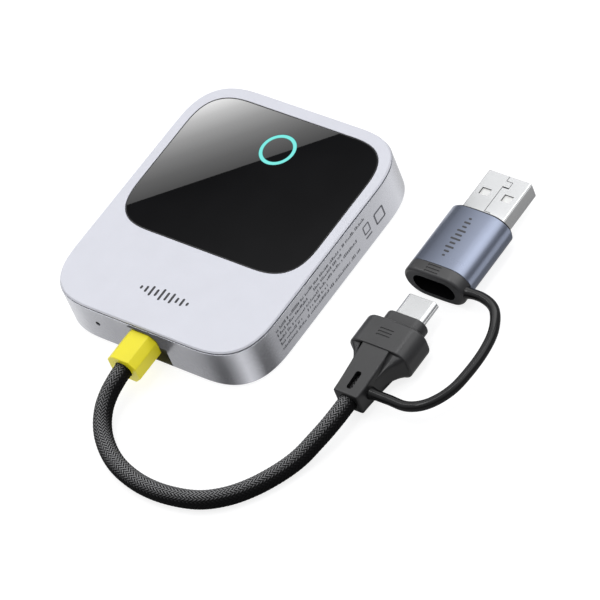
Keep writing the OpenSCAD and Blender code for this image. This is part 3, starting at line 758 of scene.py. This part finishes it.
LEVELS = (1.0, 1.8, 2.9, 2.0, 3.4, 2.4, 3.0, 1.6, 2.2, 1.0)


def make_level_bars():
    pitch, width = 1.5, 0.62
    x0 = 0.3 - pitch * (len(LEVELS) - 1) / 2
    shapes = [capsule(x0 + pitch * k, -25, width, h) for k, h in enumerate(LEVELS)]
    return flat_shapes("level_bars", shapes, lambda a, b, t: (a, b, TOP + t))


def make_sleeve_bars():
    pitch, width = 1.25, 0.5
    y0 = (SLEEVE_FRONT + SLEEVE_BACK) / 2 - pitch * (len(LEVELS) - 1) / 2
    shapes = [capsule(0, y0 + pitch * k, 0.8 * h, width) for k, h in enumerate(LEVELS)]
    return flat_shapes("sleeve_bars", shapes, lambda a, b, t: (LINE_X + a, b, sleeve_hi.z + t))


def make_side_print():
    """Rows of short upright ticks and two plain outlines, standing for the small print."""
    rows = ((9.2, ((-22, 14.6),)), (7.7, ((-22, -9.6), (-7.6, 4.2))), (6.15, ((-22, 10.1),)),
            (4.7, ((-22, -13.2), (-11.4, -2.8))), (3.15, ((-22, 9.8),)))
    rng = random.Random(7)
    shapes = []
    for z, runs in rows:
        for y0, y1 in runs:
            y, foot = y0, z - 0.42
            while y < y1 - 0.6:
                w, h = rng.uniform(0.16, 0.42), rng.choice((0.3, 0.42, 0.5))
                top = foot + 2 * h - 0.16
                shapes.append(rect(y, foot, y + w, top))
                y += w + rng.choice((0.13, 0.16, 0.2, 0.2, 0.62))
    shapes += frame_shape(13.4, 5.9, 2.1, 2.4, 0.34) + frame_shape(18.4, 5.2, 3.2, 3.2, 0.46)
    shapes.append(rect(12.2, 3.3, 14.6, 3.75))
    return flat_shapes("side_print", shapes, lambda a, b, t: (body_hi.x + t, a, b))


def rect(a0, b0, a1, b1):
    return [(a0, b0), (a1, b0), (a1, b1), (a0, b1)]


def frame_shape(a, b, w, h, line):
    """Four bars round a plain rectangle."""
    x, y, half = w / 2, h / 2, line / 2
    return ([rect(a - x, b + s * y - half, a + x, b + s * y + half) for s in (-1, 1)]
            + [rect(a + s * x - half, b - y, a + s * x + half, b + y) for s in (-1, 1)])


# ---------------- materials


class Tree:
    """Short calls for one tree of nodes."""

    def __init__(self, tree):
        self.tree = tree

    def new(self, kind, **settings):
        node = self.tree.nodes.new(kind)
        for key, value in settings.items():
            setattr(node, key, value)
        return node

    def link(self, a, b):
        self.tree.links.new(a, b)

    def put(self, socket, value):
        if isinstance(value, bpy.types.NodeSocket):
            self.link(value, socket)
        else:
            socket.default_value = value

    def split(self, vector):
        node = self.new("ShaderNodeSeparateXYZ")
        self.link(vector, node.inputs[0])
        return node.outputs

    def lay(self):
        return self.split(self.new("ShaderNodeUVMap", uv_map="lay").outputs[0])

    def dot(self, vector, way):
        node = self.new("ShaderNodeVectorMath", operation="DOT_PRODUCT")
        node.inputs[1].default_value = way
        self.link(vector, node.inputs[0])
        return node.outputs["Value"]

    def math(self, op, a, b=0.0):
        node = self.new("ShaderNodeMath", operation=op)
        self.put(node.inputs[0], a)
        self.put(node.inputs[1], b)
        return node.outputs[0]

    def plus(self, a, b):
        return self.math("ADD", a, b)

    def minus(self, a, b):
        return self.math("SUBTRACT", a, b)

    def times(self, a, b):
        return self.math("MULTIPLY", a, b)

    def ranged(self, value, lo, hi, low=0.3, high=0.7):
        """The value's span from low to high, turned into lo to hi."""
        node = self.new("ShaderNodeMapRange")
        for key, v in (("From Min", low), ("From Max", high), ("To Min", lo), ("To Max", hi)):
            node.inputs[key].default_value = v
        self.put(node.inputs["Value"], value)
        return node.outputs[0]


class Nodes(Tree):
    """Short calls for one material's nodes."""

    def __init__(self, name):
        self.mat = bpy.data.materials.new(name)
        self.mat.use_nodes = True
        super().__init__(self.mat.node_tree)
        self.shader = self.tree.nodes["Principled BSDF"]
        self.object = self.new("ShaderNodeTexCoord").outputs["Object"]

    def noise(self, size_mm, detail=3, stretch=(1, 1, 1), vector=None):
        mapping = self.new("ShaderNodeMapping")
        mapping.inputs["Scale"].default_value = stretch
        self.put(mapping.inputs["Vector"], vector or self.object)
        node = self.new("ShaderNodeTexNoise")
        node.inputs["Scale"].default_value = 1 / (size_mm * MM)
        node.inputs["Detail"].default_value = detail
        self.link(mapping.outputs[0], node.inputs["Vector"])
        return node.outputs["Fac"]

    def mix(self, fac, a, b):
        node = self.new("ShaderNodeMix", data_type="RGBA")
        self.put(node.inputs["Factor"], fac)
        self.put(node.inputs["A"], a)
        self.put(node.inputs["B"], b)
        return node.outputs["Result"]

    def bump(self, height, depth_mm, strength=1.0):
        node = self.new("ShaderNodeBump")
        node.inputs["Strength"].default_value = strength
        node.inputs["Distance"].default_value = depth_mm * MM
        self.put(node.inputs["Height"], height)
        self.link(node.outputs[0], self.shader.inputs["Normal"])

    def painted_crease_shade(self, colour, deep, reach_mm, low=0.45, high=0.95):
        """The colour with painted shade: darker where other surfaces close in on it."""
        node = self.new("ShaderNodeAmbientOcclusion", samples=6)
        node.inputs["Distance"].default_value = reach_mm * MM
        open_ = self.ranged(node.outputs["AO"], 0, 1, low, high)
        return self.mix(open_, deep, colour)

    def set(self, **sockets):
        for key, value in sockets.items():
            self.put(self.shader.inputs[key.replace("_", " ")], value)


def rgb(r, g, b, gain=1.0):
    """A linear colour from display values."""
    def lin(c):
        c /= 255
        return gain * (c / 12.92 if c <= 0.04045 else ((c + 0.055) / 1.055) ** 2.4)
    return (lin(r), lin(g), lin(b), 1)


def shade(colour, factor):
    return tuple(c * factor for c in colour[:3]) + (1,)


def plain(name, display, metallic, rough, grain, depth, spread=0.06, stretch=(1, 1, 1),
          deep=None, **sockets):
    """A moulded or metal finish: fine grain in the surface, slow cloudiness in tone and gloss."""
    n, colour = Nodes(name), rgb(*display)
    fine = n.noise(grain, 4, stretch)
    slow = n.noise(6, 2)
    tone = n.plus(n.times(fine, 0.5), n.times(slow, 0.5))
    base = n.mix(n.ranged(tone, 0, 1, 0.35, 0.65),
                 shade(colour, 1 - spread), shade(colour, 1 + spread))
    # painted shade: the colour is darkened where other surfaces close in, in creases and under
    # things
    if deep:
        base = n.painted_crease_shade(base, shade(colour, deep), 5)
    n.set(Base_Color=base, Metallic=metallic, Roughness=n.ranged(tone, *rough, 0.35, 0.65),
          **sockets)
    n.bump(fine, depth, 0.6)
    return n.mat


def make_materials():
    m = {}

    def finish(name, *values, **more):
        m[name] = plain(name, *values, **more)

    finish("satin_silver", (220, 221, 229), 0.25, (0.40, 0.50), 0.09, 0.0012, 0.02)
    finish("wall_metal", (182, 183, 189), 0.92, (0.23, 0.29), 0.1, 0.001, 0.03,
           stretch=(1, 1, 2.5))
    m["window_black"] = window_material()
    m["glow_ring"] = glow_material()
    finish("boot_yellow", (250, 236, 30), 0, (0.32, 0.42), 0.1, 0.002, 0.03,
           Specular_IOR_Level=0.5)
    finish("inner_grey", (92, 93, 98), 0, (0.5, 0.6), 0.15, 0.003)
    # the dark grey, neck and strap finishes carry painted shade where other surfaces close in
    finish("dark_grey", (58, 58, 59), 0, (0.30, 0.38), 0.08, 0.002, 0.06, deep=0.3,
           Specular_IOR_Level=0.6)
    # painted shade: the neck's finish is the housing's dark grey plastic copied darker
    finish("neck_grey", (45, 45, 46), 0, (0.30, 0.38), 0.08, 0.002, 0.06, deep=0.3,
           Specular_IOR_Level=0.6)
    finish("strap_rubber", (14, 14, 15), 0, (0.14, 0.19), 0.12, 0.0005, 0.06, deep=0.3,
           Specular_IOR_Level=0.42)
    finish("plug_steel", (222, 223, 224), 1.0, (0.24, 0.27), 0.15, 0.0001, 0.008,
           stretch=(4, 0.5, 4))
    finish("blue_grey", (128, 135, 152), 0.95, (0.27, 0.31), 0.08, 0.0005, 0.012)
    # painted shade: near-black for the socket mouth's walls and the rear rim, darker than their
    # dark grey plastic
    finish("mouth_black", (5, 5, 6), 0, (0.6, 0.7), 0.15, 0.002, Specular_IOR_Level=0.1)
    # painted shade: near-black for the socket's steel shell and tongue, which sit in shade inside
    # the mouth
    finish("socket_painted_shade", (10, 10, 11), 0.2, (0.5, 0.6), 0.15, 0.001, Specular_IOR_Level=0.2)
    finish("seam_shadow", (46, 46, 48), 0.3, (0.5, 0.6), 0.15, 0.001)
    m["braid"] = braid_material()
    finish("pad_rubber", (52, 53, 56), 0, (0.6, 0.75), 0.3, 0.02)
    finish("print_grey", (58, 58, 62), 0, (0.5, 0.6), 0.2, 0.001)
    finish("side_ink", (112, 113, 120), 0.3, (0.4, 0.5), 0.2, 0.001)
    finish("gold_contact", (222, 184, 96), 1.0, (0.18, 0.28), 0.2, 0.001)
    m["board_green"] = board_material()
    finish("chip_black", (30, 31, 33), 0, (0.45, 0.6), 0.1, 0.003)
    finish("nylon_white", (242, 242, 240), 0, (0.4, 0.5), 0.15, 0.002)
    finish("wire_red", (168, 46, 40), 0, (0.35, 0.45), 0.3, 0.002)
    finish("copper", (205, 140, 84), 1.0, (0.25, 0.35), 0.3, 0.002)
    finish("tape_grey", (120, 120, 116), 0, (0.6, 0.7), 0.3, 0.004)
    finish("clear_guide", (216, 232, 232), 0, (0.3, 0.4), 0.3, 0.002)
    finish("led_body", (236, 232, 200), 0, (0.3, 0.4), 0.3, 0.002)
    finish("screw_steel", (150, 151, 154), 1.0, (0.25, 0.35), 0.1, 0.002)
    finish("pad_blue", (120, 140, 170), 0, (0.6, 0.7), 0.3, 0.01)
    finish("spreader", (176, 178, 182), 1.0, (0.35, 0.45), 0.2, 0.002)
    finish("tin_shield", (182, 184, 186), 1.0, (0.3, 0.42), 0.3, 0.003)
    finish("ferrite", (70, 71, 76), 0.2, (0.5, 0.6), 0.1, 0.004)
    finish("ceramic_tan", (170, 138, 92), 0, (0.4, 0.5), 0.2, 0.002)
    return m


def window_material():
    """Black glass: almost clean, with the faintest ripple and dust in its gloss."""
    n = Nodes("window_black")
    slow = n.noise(14, 2)
    dust = n.noise(0.5, 2)
    n.set(Base_Color=n.mix(n.ranged(slow, 0, 1), rgb(10, 10, 12), rgb(15, 15, 17)),
          Roughness=n.ranged(dust, 0.003, 0.012, 0.4, 0.8), IOR=1.5, Metallic=0.0)
    n.bump(dust, 0.0002, 0.05)
    return n.mat


def glow_material():
    """A lit line, a little brighter along its middle."""
    n = Nodes("glow_ring")
    place = n.split(n.object)
    dx, dy = place["X"], n.minus(place["Y"], RING_Y * MM)
    radius = n.math("SQRT", n.plus(n.times(dx, dx), n.times(dy, dy)))
    off = n.math("ABSOLUTE", n.minus(radius, (RING_R - GLOW_W / 2) * MM))
    core = n.ranged(off, 1, 0, 0.34 * MM, 0.5 * MM)
    n.set(Base_Color=n.mix(core, rgb(20, 60, 60), rgb(40, 110, 108)), Roughness=0.4,
          Emission_Color=n.mix(core, rgb(24, 110, 108), rgb(122, 240, 230)), Emission_Strength=0.78)
    return n.mat


def braid_material():
    """Grey yarns with dark gaps, woven two over and two under along the tube's lay."""
    n = Nodes("braid")
    lay = n.lay()
    a = n.times(lay["X"], STRANDS)
    b = n.times(lay["Y"], STRANDS / LAY)
    u, v = n.plus(b, a), n.minus(b, a)
    i, j = n.math("FLOOR", u), n.math("FLOOR", v)
    over = n.math("LESS_THAN", n.math("FLOORED_MODULO", n.minus(i, j), 4), 1.5)

    def pick(yes, no):
        node = n.new("ShaderNodeMix", data_type="FLOAT")
        n.put(node.inputs["Factor"], over)
        n.put(node.inputs["A"], no)
        n.put(node.inputs["B"], yes)
        return node.outputs["Result"]

    across = pick(n.minus(u, i), n.minus(v, j))
    edge = n.math("ABSOLUTE", n.minus(across, 0.5))
    crown = n.ranged(edge, 1, 0, 0.14, 0.3)
    fibre = n.math("SINE", n.times(across, 44))
    hair = n.noise(0.12, 3)
    tint = n.ranged(hair, 0.7, 1.0)
    # painted light: the yarn is paler on the side that faces up, to the back and to the left, where
    # the light falls
    up = n.dot(n.new("ShaderNodeNewGeometry").outputs["Normal"], (-0.37, 0.31, 0.88))
    painted_lit_side = n.ranged(up, 0, 1, 0.25, 0.85)
    pale = n.mix(painted_lit_side, rgb(20, 20, 21), rgb(152, 152, 153))
    # painted shade: the yarn is darkened where other surfaces close in
    yarn = n.painted_crease_shade(n.mix(tint, rgb(10, 10, 11), pale), rgb(10, 10, 11), 5)
    n.set(Base_Color=n.mix(crown, rgb(3, 3, 4), yarn), Roughness=n.ranged(hair, 0.5, 0.75),
          Specular_IOR_Level=0.15)
    n.bump(n.plus(crown, n.times(fibre, 0.12)), 0.03, 0.5)
    return n.mat


def board_material():
    """Green solder mask with fine copper runs under it."""
    n = Nodes("board_green")
    cells = n.new("ShaderNodeTexVoronoi", feature="DISTANCE_TO_EDGE")
    cells.inputs["Scale"].default_value = 900
    n.link(n.object, cells.inputs["Vector"])
    track = n.ranged(cells.outputs["Distance"], 1, 0, 0.02, 0.06)
    n.set(Base_Color=n.mix(track, rgb(24, 74, 50), rgb(52, 112, 78)), Roughness=0.35)
    n.bump(track, 0.01, 0.4)
    return n.mat


materials = make_materials()


def dress(obj, name):
    obj.data.materials.clear()
    obj.data.materials.append(materials[name])


def add(obj, body, material, slot, *nodes):
    dress(obj, material)
    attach(obj, body)
    if nodes:
        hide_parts(*nodes)
    return obj


RECEIVER, ADAPTER = "receiver", "adapter"

wall = add(make_side_wall(), RECEIVER, "wall_metal", "wall_metal", "side_frame")
add(make_recess_block(), RECEIVER, "inner_grey", "inner_grey")
plate = add(make_top_plate(), RECEIVER, "satin_silver", "satin_silver", "top_cover")
glass = add(make_window(), RECEIVER, "window_black", "window_black", "window_panel")
add(make_glow_line(), RECEIVER, "glow_ring", "glow_ring", "light_ring")
add(make_base_plate(), RECEIVER, "satin_silver", "satin_silver", "bottom_cover")
add(make_grip_pad(), RECEIVER, "pad_rubber", "pad_rubber", "base_pad")
boot = add(make_boot(), RECEIVER, "boot_yellow", "boot_yellow", "cable_boot")
add(make_level_bars(), RECEIVER, "print_grey", "inner_grey")
add(make_side_print(), RECEIVER, "side_ink", "inner_grey")
# the neck takes the darker painted-shade copy of the dark grey
neck = add(make_neck(), RECEIVER, "neck_grey", "dark_grey", "plug_neck")
head = add(make_plug_head(), RECEIVER, "dark_grey", "dark_grey", "plug_housing")
nose = add(make_nose(), RECEIVER, "dark_grey", "dark_grey", "plug_collar")
c_shell = add(make_c_shell(), RECEIVER, "plug_steel", "plug_steel", "usb_c_shell")
c_core = add(make_c_core(), RECEIVER, "chip_black", "chip_black", "usb_c_insulator")
paint_mouth_shade(add(make_cap(), ADAPTER, "dark_grey", "dark_grey", "adapter_end_cap"))
sleeve = add(make_sleeve(), ADAPTER, "blue_grey", "blue_grey", "adapter_sleeve")
add(make_sleeve_bars(), ADAPTER, "print_grey", "inner_grey")
# painted shade: the rim is dressed near-black instead of its dark grey
add(make_rim(), ADAPTER, "mouth_black", "dark_grey", "adapter_back_plate")
a_shell = add(make_a_shell(), ADAPTER, "plug_steel", "plug_steel", "usb_a_shell")
darken_seams(a_shell)

add(cable, RECEIVER, "braid", "braid", "pigtail_cable")

dress(tether, "strap_rubber")
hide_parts("tether_strap")
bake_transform(tether)

# The CAD nodes that stay take their finish from the slot of the same name
for name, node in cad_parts.items():
    if node.hide_render:
        continue
    old = node.data.materials[0].name if node.data.materials else ""
    wanted = next((k for k in materials if old == k or old.startswith(k + ".")), None)
    if wanted:
        for k in range(len(node.material_slots)):
            node.material_slots[k].material = materials[wanted]
# painted shade: the socket's steel shell and tongue are dressed near-black
for name in ("socket_shell", "socket_tongue"):
    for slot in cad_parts[name].material_slots:
        slot.material = materials["socket_painted_shade"]

# ---------------- floor and light

EYE = camera.matrix_world.translation / MM


def mirror_point(x, y, height):
    """Where the camera's ray through a point of the window goes, at a height, after the mirror."""
    eye = Vector((EYE.x, EYE.y, 2 * TOP - EYE.z))
    p = Vector((x, y, TOP))
    return eye + (p - eye) * ((height - eye.z) / (p.z - eye.z))


def light_only(obj, pieces):
    """Lets the object's light reach these pieces only."""
    lit = bpy.data.collections.new(obj.name + "_lights")
    for piece in pieces:
        lit.objects.link(piece)
    obj.light_linking.receiver_collection = lit


def make_floor():
    size = 4000
    verts = [(-size, -size, -0.02), (size, -size, -0.02), (size, size, -0.02), (-size, size, -0.02)]
    floor = add_object("floor", verts, [(0, 1, 2, 3)])
    n = Nodes("paper")
    n.set(Base_Color=n.mix(n.noise(60, 2), (0.31, 0.31, 0.315, 1), (0.33, 0.33, 0.33, 1)),
          Roughness=0.9, Specular_IOR_Level=0.1,
          Emission_Color=(1, 1, 1, 1), Emission_Strength=0.82)
    floor.data.materials.append(n.mat)
    light_only(floor, (wall, plate, boot, sleeve, a_shell, c_shell))


def softbox(name, place, target, width, height, radiance):
    data = bpy.data.lights.new(name, "AREA")
    data.shape, data.size, data.size_y = "RECTANGLE", width, height
    data.energy = radiance * math.pi * width * height
    light = bpy.data.objects.new(name, data)
    scene.collection.objects.link(light)
    light.location = place
    light.rotation_mode = "QUATERNION"
    light.rotation_quaternion = (Vector(target) - Vector(place)).to_track_quat("-Z", "Y")
    light.visible_camera = False


def card(name, verts, faces, uvs, stops, seen_in=(), one_sided=False):
    """A reflection card, seen only in gloss; its light runs through the stops along U."""
    obj = add_object(name, verts, faces, uvs)
    n = Nodes(name)
    ramp = n.new("ShaderNodeValToRGB")
    points = ramp.color_ramp.elements
    peak = max(power for _, power in stops)
    for k, (place, power) in enumerate(stops):
        point = points[k] if k < 2 else points.new(place)
        point.position = place
        point.color = (power / peak, power / peak, power / peak, 1)
    n.link(n.lay()["X"], ramp.inputs["Fac"])
    emit = n.new("ShaderNodeEmission")
    n.link(ramp.outputs["Color"], emit.inputs["Color"])
    emit.inputs["Strength"].default_value = peak
    shown = emit
    if one_sided:
        shown = n.new("ShaderNodeMixShader")
        n.link(n.new("ShaderNodeNewGeometry").outputs["Backfacing"], shown.inputs[0])
        n.link(emit.outputs[0], shown.inputs[1])
        n.link(n.new("ShaderNodeBsdfTransparent").outputs[0], shown.inputs[2])
    n.link(shown.outputs[0], n.tree.nodes["Material Output"].inputs["Surface"])
    obj.data.materials.append(n.mat)
    obj.visible_camera = obj.visible_diffuse = obj.visible_shadow = False
    obj.visible_transmission = obj.visible_volume_scatter = False
    if seen_in:
        light_only(obj, seen_in)


def flat_card(name, corners, stops, seen_in=()):
    card(name, corners, [(0, 1, 2, 3)], [(0, 0), (1, 0), (1, 1), (0, 1)], stops, seen_in)


def strip_card(name, pairs, places, stops):
    """A card through pairs of points; the places put each pair on the scale of the stops."""
    first, last = stops[0][0], stops[-1][0]
    share = [(place - first) / (last - first) for place in places]
    faces, uvs = [], []
    for k, (a, b) in enumerate(zip(share, share[1:])):
        faces.append((2 * k, 2 * k + 1, 2 * k + 3, 2 * k + 2))
        uvs += [(a, 0), (a, 1), (b, 1), (b, 0)]
    card(name, [point for pair in pairs for point in pair], faces, uvs,
         [((place - first) / (last - first), power) for place, power in stops])


def window_cards():
    """Cards whose mirror image lies on the window: lit and dark, meeting in a diagonal."""
    # the ends of the diagonal, on the window
    a, b = Vector((-24.35, -6.4)), Vector((12.65, 31.7))
    along = (b - a).normalized()
    out = Vector((-along.y, along.x))

    def quad(name, reach, near, far, height, stops, seen_in=()):
        corners = [a - along * reach + out * near, a - along * reach + out * far,
                   b + along * reach + out * far, b + along * reach + out * near]
        flat_card(name, [tuple(mirror_point(p.x, p.y, height)) for p in corners], stops, seen_in)

    steps = 6
    lit = [(k / steps, 1.45 * math.exp(2.95 * k / steps)) for k in range(steps + 1)]
    quad("lit_card", 12, 0.7, 30, 600, lit, [glass])
    quad("dark_card", 40, 0.7, -41.5, 590, [(0, 0.08), (1, 0.30)], [glass])
    quad("bright_card", 90, -41.5, -190, 595, [(0, 1.3), (1, 1.3)])


# Light that the walls mirror at their foot, by distance in mm from the front wall's end
# at the corner: along the front wall, round the corner and back
WALL_LIGHT = ((-38, 1.1), (-32, 0.87), (-24, 0.68), (-14, 0.62), (0, 0.58), (4, 0.46), (7.2, 0.17),
              (9, 0.17), (11.2, 0.55), (13.6, 1.25), (15.2, 0.95), (17.6, 0.2), (19.8, 0.22),
              (22.5, 0.58), (27, 0.70), (45, 0.86), (64, 1.0), (72, 1.3), (76, 0.8))


def foot_strip():
    """A strip round the puck's foot, reached by the camera's rays after they leave the wall."""
    view = EYE.normalized()
    reach = 1.15 * TOP * math.hypot(view.x, view.y) / view.z
    start, corner_x, arc = WALL_LIGHT[0][0], body_hi.x - CORNER_R, 40
    quarter = [Vector(p) for p in soft_rect(BODY_W, BODY_D, CORNER_R, arc)[:arc + 1]]
    # round the far corner as far as the camera sees
    seen = [p for p, q in zip(quarter, quarter[1:])
            if Vector((q.y - p.y, p.x - q.x)).dot(view.xy) > 0]
    inner = [Vector((corner_x + k, FRONT)) for k in range(start, 0, 2)]
    inner += [Vector((p.x, -p.y)) for p in reversed(quarter)]
    inner += [Vector((body_hi.x, y)) for y in range(-18, 19, 2)] + seen
    pairs, places = [], [start]
    for p, q in zip(inner, inner[1:]):
        places.append(places[-1] + (q - p).length)
    for k, p in enumerate(inner):
        tangent = inner[min(k + 1, len(inner) - 1)] - inner[max(k - 1, 0)]
        normal = Vector((tangent.y, -tangent.x)).normalized()
        way = 2 * normal.dot(view.xy) * normal - view.xy
        outer = p + way.normalized() * reach
        pairs.append(((p.x, p.y, 0.01), (outer.x, outer.y, 0.01)))
    strip_card("foot_strip", pairs, places, WALL_LIGHT)


def side_strip():
    """A dim strip beside the plug and adapter, mirrored by their flanks."""
    x0, x1 = sleeve_hi.x - 3, sleeve_hi.x + 6
    y0, y1 = NECK_END, A_TIP + 6
    flat_card("side_strip", [(x, y, 0.01) for x, y in rect(x0, y0, x1, y1)],
              [(0, 0.35), (1, 0.35)])


# Light that the sleeve mirrors, by distance across its top in mm
SLEEVE_LIGHT = ((-8, 0.3), (-6, 0.3), (-4.3, 0.35), (-3, 0.55), (-1.5, 0.85), (0, 1.05), (2, 1.25),
                (4, 1.55), (5, 2.0), (6, 2.6), (6.7, 2.2), (7.2, 0.4), (8, 0.22))


def sleeve_card():
    """A card close over the sleeve; each line along the sleeve mirrors its own share of it."""
    mid = (SLEEVE_FRONT + SLEEVE_BACK) / 2
    reach, half = 22, 0.5 * (SLEEVE_BACK - SLEEVE_FRONT) + 4
    rim = sorted(p for p in adapter_outline(0) if p[1] > 0)
    pairs, places = [], []
    for before, after in zip(rim, rim[1:]):
        x, z = (before[0] + after[0]) / 2, (before[1] + after[1]) / 2
        normal = Vector((before[1] - after[1], 0, after[0] - before[0])).normalized()
        if not SLEEVE_LIGHT[0][0] <= x <= SLEEVE_LIGHT[-1][0] or normal.z < 0.6:
            continue
        spot = Vector((LINE_X + x, mid, LINE_Z + z))
        ray = (spot - EYE).normalized()
        far = spot + (ray - 2 * ray.dot(normal) * normal) * reach
        # only above the puck's walls, which mirror what lies lower than themselves
        if far.z < TOP + 2:
            continue
        pairs.append(((far.x, far.y - half, far.z), (far.x, far.y + half, far.z)))
        places.append(x)
    strip_card("sleeve_card", pairs, places, SLEEVE_LIGHT)


def boot_shade():
    """A dim card lying over the boot, so that the wall above it mirrors little of its yellow."""
    y0, y1 = FRONT - 8.3, FRONT - 0.05
    top = CABLE_Z + BOOT_H / 2 + 0.03
    side = BOOT_W / 2 + 0.06
    profile = [(-BOOT_W / 2, top), (BOOT_W / 2 - BOOT_BEVEL + 0.03, top), (side, top - BOOT_BEVEL),
               (side, CABLE_Z - BOOT_H / 2)]
    verts = [(x, y, z) for x, z in profile for y in (y0, y1)]
    faces = [(0, 2, 3, 1), (2, 4, 5, 3), (4, 6, 7, 5)]
    card("boot_shade", verts, faces, [(0, 0)] * 12, [(0, 0.12), (1, 0.12)], one_sided=True)


def make_world():
    """Bright overhead, dimmer toward the horizon and toward the front right."""
    world = bpy.data.worlds.new("studio")
    scene.world = world
    world.use_nodes = True
    n = Tree(world.node_tree)
    way = n.new("ShaderNodeTexCoord").outputs["Generated"]
    ramp = n.new("ShaderNodeValToRGB")
    low, high = ramp.color_ramp.elements
    low.position, low.color = 0.05, (0.26, 0.262, 0.27, 1)
    high.position, high.color = 0.85, (0.97, 0.98, 1, 1)
    n.link(n.split(way)["Z"], ramp.inputs["Fac"])
    dimmed = n.new("ShaderNodeVectorMath", operation="SCALE")
    n.link(ramp.outputs["Color"], dimmed.inputs[0])
    n.link(n.ranged(n.dot(way, (0.6, -0.8, 0)), 1, 0.5, 0, 0.8), dimmed.inputs["Scale"])
    back = n.tree.nodes["Background"]
    n.link(dimmed.outputs["Vector"], back.inputs["Color"])
    back.inputs["Strength"].default_value = 0.84


def make_light():
    target = (0.02, -0.01, 0.005)
    softbox("key", (-0.75, 0.55, 1.0), target, 1.0, 1.0, 0.65)
    softbox("rim", (0.75, 0.80, 1.1), target, 0.8, 0.8, 1.0)
    softbox("strip_y", (0.05, 0.35, 1.0), (0.05, 0.35, 0), 0.1, 1.6, 4.5)
    softbox("strip_x", (-0.55, -0.05, 1.0), (-0.55, -0.05, 0), 1.3, 0.1, 4.5)
    window_cards()
    foot_strip()
    side_strip()
    sleeve_card()
    boot_shade()


make_world()
make_floor()
make_light()
